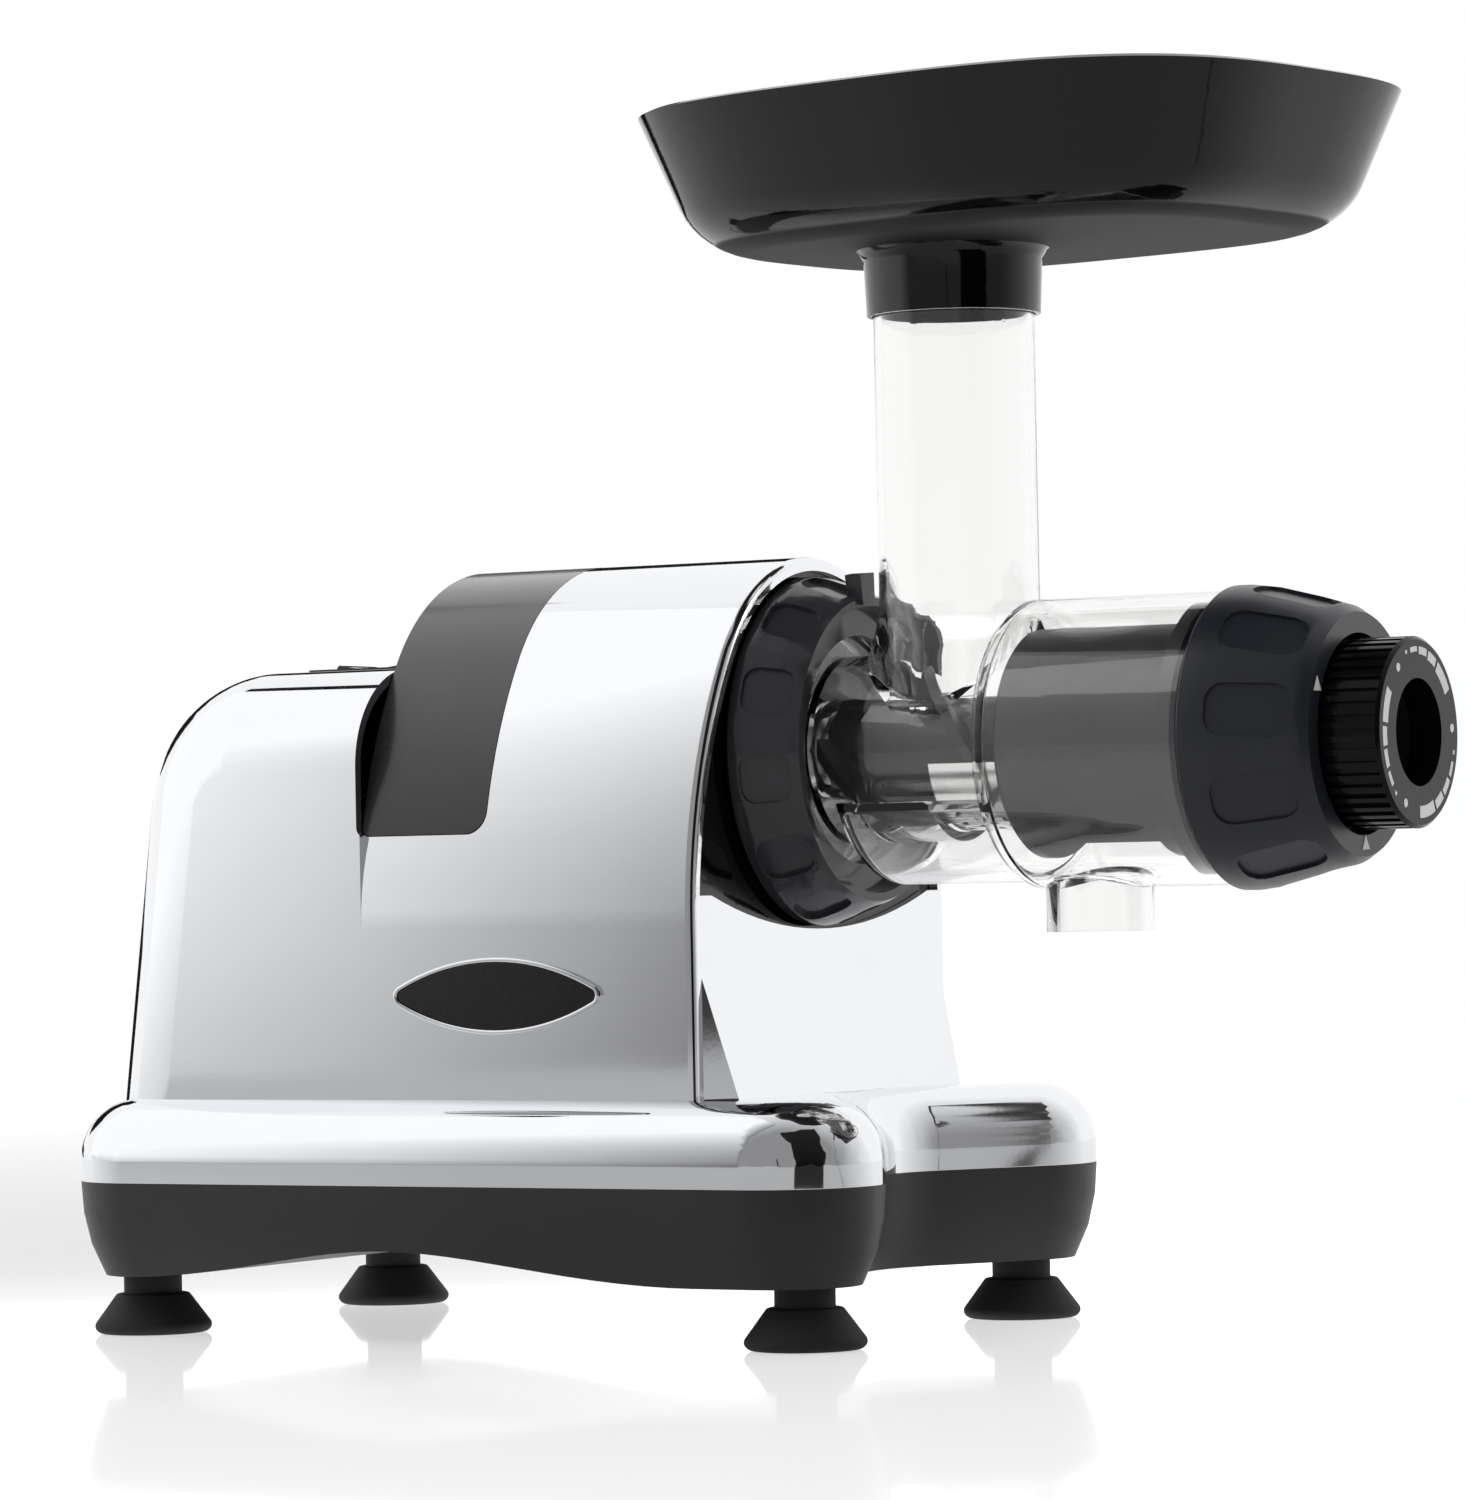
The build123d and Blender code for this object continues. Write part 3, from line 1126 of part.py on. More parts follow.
def gearbox_screws():
    """Screws of the gearbox cover."""
    screws = []
    for y, z in screw_places():
        seat = gearbox_front_x + joint_gap / 2
        screw = x_cylinder(gearbox_split_x - 10, seat, motor_bolt_r, y, z)
        screw += x_cylinder(seat, seat + 1.6, motor_bolt_r * 1.8, y, z)
        screws.append(screw - hexagon_at(seat + 0.6, seat + 2, 2.5, y, z))
    return screws


def hexagon_at(x0, x1, size, y, z):
    """Hexagonal prism along X at any place."""
    face = across(x0) * Pos(y, z) * RegularPolygon(size / sqrt(3), 6)
    return extrude(face, x1 - x0, dir=(1, 0, 0))


def shaft_seal():
    """Rubber lip seal round the output shaft."""
    body = turned([(gearbox_front_x + 0.2, shaft_seal_r), (shaft_seal_x + shaft_seal_thickness, shaft_seal_r),
                   (shaft_seal_x + shaft_seal_thickness, output_r + 1), (shaft_seal_x + 2.5, output_r + running_gap),
                   (shaft_seal_x + 1.5, output_r + running_gap), (gearbox_front_x + 0.2, output_r + 1)])
    return body


def motor_shaft():
    """Rotor shaft from the fan to the pinion."""
    rear = fan_x + 1
    return (x_cylinder(rear, gearbox_rear_x + gearbox_wall, rotor_shaft_r, 0, motor_z)
            + x_cylinder(gearbox_rear_x + gearbox_wall - 0.5, first_gear_x + first_gear_width, pinion_bore_r,
                         0, motor_z))


def rotor_core():
    """Laminated rotor with its two end rings."""
    body = x_cylinder(stator_rear_x, stator_front_x, rotor_r, 0, motor_z)
    for x in (stator_rear_x - 4, stator_front_x):
        body += x_cylinder(x, x + 4, rotor_r - 2, 0, motor_z) - x_cylinder(x - 1, x + 5, rotor_r - 8, 0, motor_z)
    return body - x_cylinder(stator_rear_x - 5, stator_front_x + 5, rotor_shaft_r, 0, motor_z)


def slot_bars(x0, x1, shrink):
    """Bars of the stator slots."""
    bars = []
    for i in range(stator_slots):
        bar = block(x0, x1, -slot_width / 2 + shrink, slot_width / 2 - shrink,
                    rotor_r + air_gap + 1.2 + shrink, rotor_r + air_gap + 1.2 + slot_depth - shrink)
        bars.append(Pos(0, 0, motor_z) * Rot((i + 0.5) * 360 / stator_slots, 0, 0) * bar)
    return bars


def stator_core():
    """Laminated stator with its slots and the holes for the long bolts."""
    bore = rotor_r + air_gap
    body = x_cylinder(stator_rear_x, stator_front_x, stator_r, 0, motor_z)
    body -= x_cylinder(stator_rear_x - 1, stator_front_x + 1, bore, 0, motor_z)
    body -= slot_bars(stator_rear_x - 1, stator_front_x + 1, 0.0)
    for y, z in bolt_places():
        body -= x_cylinder(stator_rear_x - 1, stator_front_x + 1, motor_bolt_r + screw_gap, y, z)
    return body


def stator_windings():
    """Copper windings: bars in the slots and a ring of end turns at each end."""
    low = rotor_r + air_gap + 1.2 + 0.3
    body = Part() + slot_bars(stator_rear_x - 2, stator_front_x + 2, 0.3)
    for x in (stator_rear_x - coil_reach, stator_front_x + 1):
        ring = turned([(x, low + 1.5), (x, low + slot_depth - 2), (x + coil_reach - 1, low + slot_depth - 1.6),
                       (x + coil_reach - 1, low + 0.7)], 0, motor_z)
        body += ring
    return body


def bolt_places():
    """Places (y, z) of the motor's long bolts."""
    return [(motor_bolt_circle * cos(radians(a)), motor_z + motor_bolt_circle * sin(radians(a)))
            for a in (45, 135, 225, 315)]


def end_bell(x, inward):
    """Motor end plate: disc with a bearing seat and a rim that reaches the stator."""
    thick = bell_thickness
    x0, x1 = (x, x + thick)
    body = x_cylinder(x0, x1, stator_r, 0, motor_z)
    body += (x_cylinder(min(x0, inward), max(x1, inward), stator_r, 0, motor_z)
             - x_cylinder(min(x0, inward) - 1, max(x1, inward) + 1, stator_r - 5.4, 0, motor_z)) if inward else body
    for i in range(8):
        turn = Pos(0, 0, motor_z) * Rot(i * 45, 0, 0)
        body -= turn * x_cylinder(x0 - 1, x1 + 1, 4.5, 0, 24)
    for y, z in bolt_places():
        body += x_cylinder(min(x0, inward), max(x1, inward), motor_bolt_r + 1.6, y, z) & x_cylinder(
            min(x0, inward), max(x1, inward), stator_r, 0, motor_z)
        body -= x_cylinder(min(x0, inward) - 1, max(x1, inward) + 1, motor_bolt_r + screw_gap, y, z)
    return body


def motor_rear_bell():
    """Rear end plate with the feet."""
    body = end_bell(rear_bell_x, stator_rear_x) + feet(mount_rear_x, motor_z - stator_r + 4)
    body += x_cylinder(rear_bell_x, rear_bell_x + ball_bearing_width + 1, ball_bearing_r + 2.5, 0, motor_z)
    body -= x_cylinder(rear_bell_x + 1, rear_bell_x + 20, ball_bearing_r + running_gap, 0, motor_z)
    body -= x_cylinder(rear_bell_x - 1, rear_bell_x + 20, rotor_shaft_r + 1, 0, motor_z)
    return body - feet_holes(mount_rear_x)


def motor_front_bell():
    """Front end plate, bolted to the gearbox."""
    x = gearbox_rear_x - bell_thickness - joint_gap
    body = end_bell(x, stator_front_x)
    return body - x_cylinder(x - 1, gearbox_rear_x + 1, ball_bearing_r + 3, 0, motor_z)


def ball_bearing(x):
    """Ball bearing of the rotor shaft, drawn as its two rings and the balls between them."""
    groove = (ball_bearing_r + rotor_shaft_r) / 2
    bore = rotor_shaft_r + running_gap
    body = x_cylinder(x, x + ball_bearing_width, ball_bearing_r, 0, motor_z)
    body -= x_cylinder(x - 1, x + ball_bearing_width + 1, bore, 0, motor_z)
    for face in (x, x + ball_bearing_width - 0.6):
        body -= x_cylinder(face, face + 0.6, groove + 1, 0, motor_z) - x_cylinder(face - 1, face + 1, groove - 1,
                                                                                 0, motor_z)
    return body


def motor_bearings():
    """Rear and front bearings of the rotor shaft."""
    return [ball_bearing(rear_bell_x + 1), ball_bearing(gearbox_rear_x - 2)]


def motor_bolts():
    """Long bolts through end plates and stator."""
    bolts = []
    for y, z in bolt_places():
        bolt = x_cylinder(rear_bell_x, gearbox_rear_x - joint_gap, motor_bolt_r, y, z)
        head = hexagon_at(rear_bell_x - 2.8, rear_bell_x, 7, y, z)
        bolts.append(bolt + head)
    return bolts


def fan():
    """Cooling fan on the rear end of the rotor shaft."""
    body = x_cylinder(fan_x, fan_x + fan_thickness, rotor_shaft_r + 4, 0, motor_z)
    body += x_cylinder(fan_x + fan_thickness - 1.6, fan_x + fan_thickness, fan_r, 0, motor_z)
    for i in range(fan_blades):
        blade = block(fan_x, fan_x + fan_thickness - 1, -0.8, 0.8, rotor_shaft_r + 2, fan_r)
        body += Pos(0, 0, motor_z) * Rot(i * 360 / fan_blades, 0, 0) * blade
    return body - x_cylinder(fan_x - 1, fan_x + fan_thickness + 1, rotor_shaft_r, 0, motor_z)


def motor_mounts():
    """Rubber bushes under the feet of motor and gearbox."""
    return [z_cylinder(x, y, mount_low_z, mount_low_z + mount_rubber, mount_r)
            - z_cylinder(x, y, mount_low_z - 1, mount_low_z + mount_rubber + 1, mount_screw_r + screw_gap)
            for x, y in corners(mount_rear_x, mount_front_x, mount_y)]


def mount_screws():
    """Screws that hold motor and gearbox on the tub's posts."""
    seat = mount_low_z + mount_rubber + mount_foot
    screws = []
    for x, y in corners(mount_rear_x, mount_front_x, mount_y):
        up = pan_screw(0, 0, 0, seat - mount_low_z + mount_screw_depth - 1, mount_screw_r, foot_head_r, head_height)
        screws.append(Pos(x, y, seat) * Rot(180, 0, 0) * up)
    return screws


def capacitor():
    """Motor capacitor lying in the tub."""
    x1 = capacitor_x + capacitor_length
    body = x_cylinder(capacitor_x, x1, capacitor_r, capacitor_y, capacitor_z)
    body = fillet(body.edges().filter_by(GeomType.CIRCLE), 1.2)
    for side in (-1, 1):
        body += block(x1 - 1, x1 + 6, capacitor_y + side * 4 - 0.4, capacitor_y + side * 4 + 0.4,
                      capacitor_z - 2.4, capacitor_z + 2.4)
    return body


def capacitor_clip():
    """Steel strap that holds the capacitor on the tub's floor."""
    x0 = capacitor_x + capacitor_length / 2 - clip_width / 2
    x1 = x0 + clip_width
    inner = capacitor_r + joint_gap
    outer = inner + clip_thickness
    low = clip_floor_z
    body = x_cylinder(x0, x1, outer, capacitor_y, capacitor_z)
    body += block(x0, x1, capacitor_y - outer, capacitor_y + outer, low, capacitor_z)
    body += block(x0, x1, capacitor_y - outer - 8, capacitor_y + outer + 8, low, low + clip_thickness)
    body -= x_cylinder(x0 - 1, x1 + 1, inner, capacitor_y, capacitor_z)
    return body - block(x0 - 1, x1 + 1, capacitor_y - inner, capacitor_y + inner, low - 1, capacitor_z)


pieces = {
    "base_tub": base_tub, "base_rim": base_rim, "foot_screws": foot_screws, "housing_screws": housing_screws,
    "cord_gland": cord_gland, "upper_housing": upper_housing, "front_fascia": front_fascia,
    "handle_band": handle_band, "badge_plate": badge_plate, "badge_rim": badge_rim,
    "switch_bezel": switch_bezel, "switch_rocker": switch_rocker, "switch_body": switch_body,
    "switch_pin": switch_pin, "locking_ring": locking_ring, "drum": drum, "drum_seal": drum_seal,
    "screen_mesh": screen_mesh, "screen_frame": screen_frame, "auger": auger, "auger_spindle": auger_spindle,
    "drum_cap": drum_cap, "cap_seal": cap_seal, "dial_seal": dial_seal, "end_dial": end_dial, "tray": tray,
    "output_gear": output_gear, "output_shaft": output_shaft, "output_bushes": output_bushes,
    "idler_shaft": idler_shaft, "idler_gear": idler_gear, "idler_pinion": idler_pinion,
    "idler_bushes": idler_bushes, "motor_pinion": motor_pinion, "gearbox_housing": gearbox_housing,
    "gearbox_cover": gearbox_cover, "gearbox_screws": gearbox_screws, "shaft_seal": shaft_seal,
    "motor_shaft": motor_shaft, "rotor_core": rotor_core, "stator_core": stator_core,
    "stator_windings": stator_windings, "motor_rear_bell": motor_rear_bell,
    "motor_front_bell": motor_front_bell, "motor_bearings": motor_bearings, "motor_bolts": motor_bolts,
    "fan": fan, "motor_mounts": motor_mounts, "mount_screws": mount_screws, "capacitor": capacitor,
    "capacitor_clip": capacitor_clip,
}
for end_name, foot_place_x in (("rear", -foot_x), ("front", foot_x)):
    for side_name, foot_place_y in (("near", -foot_y), ("far", foot_y)):
        pieces[f"foot_{end_name}_{side_name}"] = lambda x=foot_place_x, y=foot_place_y: foot(x, y)

middle_x = (base_rear_x + dial_face_x) / 2
os.makedirs("parts", exist_ok=True)
for name, make in pieces.items():
    shape = make()
    solids = shape if isinstance(shape, list) else [shape]
    solids = [s for item in solids for s in item.solids()]
    placed = [Pos(-middle_x, 0, 0) * s for s in solids]
    export_step(placed[0] if len(placed) == 1 else Compound(placed), f"parts/{name}.step")
    print(name, len(placed))
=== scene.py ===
"""Looks of a horizontal masticating juicer: finished shells, marks, materials and a plain studio."""

import json
import math

import bpy
from bpy.props import FloatProperty, FloatVectorProperty, PointerProperty
from mathutils import Matrix, Vector

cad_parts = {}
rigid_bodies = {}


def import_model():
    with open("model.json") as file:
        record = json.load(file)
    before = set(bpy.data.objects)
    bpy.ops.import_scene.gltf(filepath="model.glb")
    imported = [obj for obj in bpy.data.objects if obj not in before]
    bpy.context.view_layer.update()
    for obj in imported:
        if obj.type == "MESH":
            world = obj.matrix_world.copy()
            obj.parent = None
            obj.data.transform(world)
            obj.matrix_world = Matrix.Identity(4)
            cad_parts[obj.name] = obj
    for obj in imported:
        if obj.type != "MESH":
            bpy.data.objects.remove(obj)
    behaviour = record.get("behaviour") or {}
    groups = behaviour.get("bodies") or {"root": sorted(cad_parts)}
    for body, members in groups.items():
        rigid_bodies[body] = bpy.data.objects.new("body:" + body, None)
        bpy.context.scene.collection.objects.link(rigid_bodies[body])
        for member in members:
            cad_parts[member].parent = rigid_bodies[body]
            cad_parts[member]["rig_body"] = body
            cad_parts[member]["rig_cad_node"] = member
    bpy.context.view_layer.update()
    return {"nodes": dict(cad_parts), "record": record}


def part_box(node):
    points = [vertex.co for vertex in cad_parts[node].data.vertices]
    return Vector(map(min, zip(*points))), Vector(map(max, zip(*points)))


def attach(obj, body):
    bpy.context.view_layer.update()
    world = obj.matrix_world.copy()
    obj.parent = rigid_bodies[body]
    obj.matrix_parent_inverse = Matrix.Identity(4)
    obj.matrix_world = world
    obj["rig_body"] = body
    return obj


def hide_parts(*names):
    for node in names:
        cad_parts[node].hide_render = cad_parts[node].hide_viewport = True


bl_info = {
    "name": "Masticating juicer",
    "version": (1, 0, 0),
    "blender": (4, 5, 0),
    "location": "View3D > Sidebar > Juicer",
    "description": "Dresses the juicer's frame with finished shells, marks and materials in a plain studio",
    "category": "Object",
}

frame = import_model()
NODES = frame["nodes"]
SLOT_OF = {s["node"]: s["material_slot"] for s in frame["record"]["subparts"]}

# Places on the frame, in metres: the height of the drum line, the faces of the dial and of the cap behind it,
# the height of the tray's rim, and the middle of the chute.
CAP_LOW, CAP_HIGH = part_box("drum_cap")
DRUM_Z = (CAP_LOW.z + CAP_HIGH.z) / 2
DIAL_FACE_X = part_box("end_dial")[1].x
CAP_FACE_X = DIAL_FACE_X - 0.0157
TRAY_RIM_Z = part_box("tray")[1].z
CHUTE_X = 0.05455

# Every finish that finishes() has made, by its name.
LOOKS = {}


# ---------------------------------------------------------------- sizes and colours

class JuicerSizes(bpy.types.PropertyGroup):
    """Sizes of the pieces that are modelled here."""

    edge: FloatProperty(name="Edge softness", description="Width of the rounding on moulded edges",
                        default=0.0003, min=0.0, unit="LENGTH")
    tray_half_length: FloatProperty(name="Tray half length", default=0.0935, unit="LENGTH",
                                    description="Half of the tray's length at its rim")
    tray_half_width: FloatProperty(name="Tray half width", description="Half of the tray's width at its rim",
                                   default=0.0737, unit="LENGTH")
    tray_flare: FloatProperty(name="Tray flare", default=0.0135, unit="LENGTH",
                              description="How far the tray's side leans out from floor to rim")
    tray_floor: FloatProperty(name="Tray floor", description="Height of the tray's underside",
                              default=0.2838, unit="LENGTH")
    tray_rounding: FloatProperty(name="Tray rounding", default=0.0105, unit="LENGTH",
                                 description="Rounding between the tray's side and floor")
    tray_wall: FloatProperty(name="Tray wall", description="Thickness of the tray",
                             default=0.0022, unit="LENGTH")
    tray_turn: FloatProperty(name="Tray turn", description="How far the tray is turned on the chute",
                             default=math.radians(-8.8), subtype="ANGLE")
    tray_x: FloatProperty(name="Tray centre", description="Place of the tray's centre along the machine",
                          default=0.07425, unit="LENGTH")
    plan_power: FloatProperty(name="Plan roundness", description="Exponent of the tray's rounded plan",
                              default=3.1, min=2.0)
    chute_bore: FloatProperty(name="Chute bore", description="Radius of the feed chute's bore",
                              default=0.01905, unit="LENGTH")
    pointer: FloatProperty(name="Pointer size", description="Radius of a pointer mark on the cap",
                           default=0.0025, unit="LENGTH")
    badge_length: FloatProperty(name="Badge length", default=0.0637, unit="LENGTH",
                                description="Length of the bare badge over its blunt tips")
    badge_tip: FloatProperty(name="Badge tip", description="Rounding of the badge's tips", default=0.003,
                             unit="LENGTH")
    badge_rim: FloatProperty(name="Badge rim", description="Width of the bright rim round the badge",
                             default=0.0012, unit="LENGTH")
    badge_shift: FloatProperty(name="Badge shift", default=-0.0016, unit="LENGTH",
                               description="How far forward the badge stands from the middle of its seat")
    pointer_line: FloatProperty(name="Pointer line", default=0.0277, unit="LENGTH",
                                description="Distance of the pointers from the drum line")
    dot: FloatProperty(name="Dot size", description="Radius of a dot on the dial",
                       default=0.0011, unit="LENGTH")
    dot_line: FloatProperty(name="Dot line", description="Distance of the dots from the drum line",
                            default=0.0197, unit="LENGTH")
    bar_line: FloatProperty(name="Bar line", default=0.0214, unit="LENGTH",
                            description="Distance of the bars' outer edge from the drum line")
    print_height: FloatProperty(name="Print height", description="How far the marks stand on their face",
                                default=0.0001, unit="LENGTH")


class JuicerColours(bpy.types.PropertyGroup):
    """Colours of the finishes."""

    chrome: FloatVectorProperty(name="Chrome", description="Tint of the bright plating", subtype="COLOR",
                                default=(0.84, 0.85, 0.87), min=0, max=1)
    tub: FloatVectorProperty(name="Tub", description="Dark plastic of the tub", subtype="COLOR",
                             default=(0.022, 0.019, 0.022), min=0, max=1)
    band: FloatVectorProperty(name="Band", description="Charcoal of the handle band", subtype="COLOR",
                              default=(0.018, 0.018, 0.019), min=0, max=1)
    gloss: FloatVectorProperty(name="Gloss black", description="Black of dial, tray and badge",
                               subtype="COLOR", default=(0.004, 0.004, 0.0045), min=0, max=1)
    cap: FloatVectorProperty(name="Cap", description="Bluish charcoal of the cap", subtype="COLOR",
                             default=(0.018, 0.020, 0.028), min=0, max=1)
    clear: FloatVectorProperty(name="Clear drum", description="Tint of the clear drum", subtype="COLOR",
                               default=(0.985, 0.980, 0.972), min=0, max=1)
    mark: FloatVectorProperty(name="Marks", description="White of pointers, dots and bars", subtype="COLOR",
                              default=(0.85, 0.85, 0.85), min=0, max=1)


# ---------------------------------------------------------------- shader maths

class Value:
    """An output socket that takes part in arithmetic; each operator adds a Math node."""

    def __init__(self, shader, socket):
        self.shader, self.socket = shader, socket

    def _math(self, operation, *values):
        return self.shader.node("ShaderNodeMath", {"operation": operation}, dict(enumerate(values)))

    def __add__(self, other):
        return self._math("ADD", self, other)

    __radd__ = __add__

    def __mul__(self, other):
        return self._math("MULTIPLY", self, other)

    __rmul__ = __mul__

    def __sub__(self, other):
        return self._math("SUBTRACT", self, other)

    def __rsub__(self, other):
        return self._math("SUBTRACT", other, self)

    def __pow__(self, other):
        return self._math("POWER", self, other)

    def __mod__(self, other):
        return self._math("FLOORED_MODULO", self, other)

    def __gt__(self, other):
        return self._math("GREATER_THAN", self, other)

    def __abs__(self):
        return self._math("ABSOLUTE", self)


class Shader:
    """A material's node tree with its Principled shader."""

    def __init__(self, name, **constants):
        self.material = bpy.data.materials.new(name)
        self.material.use_nodes = True
        self.tree = self.material.node_tree
        self.surface = self.tree.nodes["Principled BSDF"]
        for socket, value in constants.items():
            self.surface.inputs[socket.replace("_", " ")].default_value = value
        self.place = self.node("ShaderNodeTexCoord", output="Object")

    def node(self, kind, settings=None, inputs=None, output=0):
        """Adds a node, sets it up, fills its sockets and gives back one output."""
        node = self.tree.nodes.new(kind)
        for key, value in (settings or {}).items():
            setattr(node, key, value)
        for key, value in (inputs or {}).items():
            if isinstance(value, Value):
                self.tree.links.new(value.socket, node.inputs[key])
            else:
                node.inputs[key].default_value = value
        return Value(self, node.outputs[output])

    def feed(self, **values):
        """Links values to the Principled shader's sockets."""
        for socket, value in values.items():
            self.tree.links.new(value.socket, self.surface.inputs[socket.replace("_", " ")])
        return self.material

    def noise(self, scale, detail=2.0, roughness=0.5, stretch=None):
        """Noise of about 0 to 1, in cycles per metre, stretched by factors along the axes."""
        vector = self.place
        if stretch:
            vector = self.node("ShaderNodeMapping", {}, {"Vector": self.place, "Scale": stretch})
        return self.node("ShaderNodeTexNoise", {}, {"Vector": vector, "Scale": scale, "Detail": detail,
                                                    "Roughness": roughness})

    def axis(self, letter):
        """One coordinate of the piece, in metres."""
        return self.node("ShaderNodeSeparateXYZ", {}, {"Vector": self.place}, letter)

    def blend(self, factor, first, second):
        """Colour between two colours."""
        return self.node("ShaderNodeMix", {"data_type": "RGBA"},
                         {0: factor, 6: (*first, 1), 7: (*second, 1)}, 2)

    def bump(self, height, distance, strength=1.0):
        """Normal bent by a height of 0 to 1 that stands for distance metres of relief."""
        return self.node("ShaderNodeBump", {}, {"Height": height, "Distance": distance, "Strength": strength})

    def ramp(self, value, low, high):
        """Value rescaled so that low gives 0 and high gives 1, held between them."""
        return self.node("ShaderNodeMapRange", {}, {"Value": value, "From Min": low, "From Max": high})

    def grey(self, value):
        """Colour with the value in all three channels."""
        return self.node("ShaderNodeCombineColor", {}, {channel: value for channel in range(3)})


def lighter(colour, factor):
    """The colour made lighter or darker."""
    return tuple(min(1.0, c * factor) for c in colour)


# ---------------------------------------------------------------- finishes

def chrome_plating(name, tint):
    """Bright plating on moulded plastic: a mirror with faint wipe marks and a trace of waviness."""
    s = Shader(name, Metallic=1.0, IOR=2.2)
    wipe = s.noise(9, 4, 0.6, (1, 1, 3))
    fine = s.noise(700, 2)
    wave = s.noise(22, 1)
    return s.feed(Base_Color=s.blend(wipe, lighter(tint, 0.97), lighter(tint, 1.03)),
                  Roughness=0.030 + wipe * wipe * 0.05 + fine * 0.01,
                  Normal=s.bump(wave * 0.6 + fine * 0.01, 0.0004, 0.25))


def moulded_plastic(name, colour, roughness, grain=2600, relief=0.00006, spread=0.25):
    """Matt moulded plastic with an eroded grain and slightly shiny rubbed places."""
    s = Shader(name, IOR=1.5)
    coarse = s.noise(38, 3)
    rub = s.ramp(s.noise(14, 2), 0.55, 0.8)
    fine = s.noise(grain, 2, 0.6)
    return s.feed(Base_Color=s.blend(coarse, lighter(colour, 1 - spread), lighter(colour, 1 + spread)),
                  Roughness=roughness + fine * 0.08 - rub * 0.06,
                  Normal=s.bump(fine, relief))


def gloss_plastic(name, colour, roughness=0.07, specular=0.5, matt_below=None):
    """Polished moulded plastic with a trace of orange peel; below matt_below it stays matt, as moulded."""
    s = Shader(name, IOR=1.49, Specular_IOR_Level=specular)
    cloud = s.noise(30, 3)
    peel = s.noise(260, 2)
    haze = s.ramp(s.noise(11, 3), 0.5, 0.85)
    shine = roughness + haze * 0.05 + peel * 0.01
    if matt_below is not None:
        shine = shine + s.ramp(s.axis("Z"), matt_below + 0.0008, matt_below) * 0.6
    return s.feed(Base_Color=s.blend(cloud, lighter(colour, 0.8), lighter(colour, 1.25)), Roughness=shine,
                  Normal=s.bump(peel, 0.00003))


def band_lacquer(name, colour):
    """Charcoal satin lacquer of the handle band, with a painted highlight that makes its colour lighter
    towards its crown.
    """
    s = Shader(name, IOR=1.52, Coat_Roughness=0.12)
    crown = s.ramp(s.axis("Z"), 0.13, 0.20)
    flake = s.noise(1900, 1)
    # painted highlight: the colour is painted lighter up the band's crown in place of the light it reflects
    # there; the flake adds a little random tone
    painted_sheen_and_flake = crown * crown * 0.9 + flake * 0.1
    return s.feed(Base_Color=s.blend(painted_sheen_and_flake, lighter(colour, 0.8), lighter(colour, 6.5)),
                  Roughness=0.26 + flake * 0.06 - crown * 0.05, Coat_Weight=0.3 + crown * 0.2,
                  Normal=s.bump(flake, 0.00002))


def rubber(name, colour):
    """Soft black rubber with a dusty, dimpled skin."""
    s = Shader(name, IOR=1.45)
    dust = s.noise(90, 4, 0.6)
    dimple = s.noise(1500, 1)
    return s.feed(Base_Color=s.blend(dust, lighter(colour, 0.8), lighter(colour, 1.9)),
                  Roughness=0.62 + dust * 0.2, Normal=s.bump(dimple, 0.00008))


def clear_plastic(name, tint):
    """Thick clear plastic, faintly smoky, with hair-fine scratches from washing."""
    s = Shader(name, IOR=1.49, Transmission_Weight=1.0)
    scratch = s.ramp(s.noise(420, 2, 0.7, (0.08, 1, 1)), 0.62, 0.75)
    haze = s.noise(18, 3)
    return s.feed(Base_Color=s.blend(haze, lighter(tint, 0.97), lighter(tint, 1.03)),
                  Roughness=0.012 + haze * haze * 0.04 + scratch * 0.05, Normal=s.bump(scratch, 0.00001))


def ground_metal(name, colour, roughness, stretch=(0.03, 1, 1), scale=1400, metallic=1.0):
    """Metal with fine marks along one direction."""
    s = Shader(name, Metallic=metallic)
    line = s.noise(scale, 2, 0.6, stretch)
    stain = s.noise(60, 3)
    return s.feed(Base_Color=s.blend(stain, lighter(colour, 0.85), lighter(colour, 1.12)),
                  Roughness=roughness + line * 0.12 + stain * 0.05, Normal=s.bump(line, 0.00002))


def cast_metal(name, colour):
    """Die-cast alloy: dull skin with flow marks and fine pitting."""
    s = Shader(name, Metallic=0.9)
    flow = s.noise(45, 4, 0.6, (1, 0.4, 0.4))
    pit = s.noise(1700, 2)
    return s.feed(Base_Color=s.blend(flow, lighter(colour, 0.8), lighter(colour, 1.1)),
                  Roughness=0.42 + flow * 0.15, Normal=s.bump(pit + flow, 0.00008))


def stacked_sheets(name, colour):
    """Stamped steel sheets lying on each other along the shaft."""
    s = Shader(name, Metallic=0.8)
    sheet = abs((s.axis("X") * 2000) % 1 - 0.5) > 0.38
    rust = s.noise(160, 3)
    return s.feed(Base_Color=s.blend(sheet * 0.7 + rust * 0.3, lighter(colour, 1.1), lighter(colour, 0.45)),
                  Roughness=0.4 + rust * 0.2, Normal=s.bump(1 - sheet, 0.00005))


def varnished_wire(name, colour):
    """Bundled copper wire under varnish."""
    s = Shader(name, Metallic=0.7, Coat_Roughness=0.1)
    turn = abs((s.axis("X") * 1500 + s.noise(120, 2) * 3) % 1 - 0.5)
    drip = s.noise(70, 3)
    return s.feed(Base_Color=s.blend(turn + drip * 0.4, lighter(colour, 0.6), lighter(colour, 1.3)),
                  Roughness=0.3 + drip * 0.2, Coat_Weight=drip, Normal=s.bump(turn, 0.0002))


def printed_white(name, colour):
    """Thin white print."""
    s = Shader(name)
    ink = s.noise(900, 3)
    return s.feed(Base_Color=s.blend(ink, lighter(colour, 0.9), colour), Roughness=0.35 + ink * 0.15,
                  Normal=s.bump(ink, 0.00001))


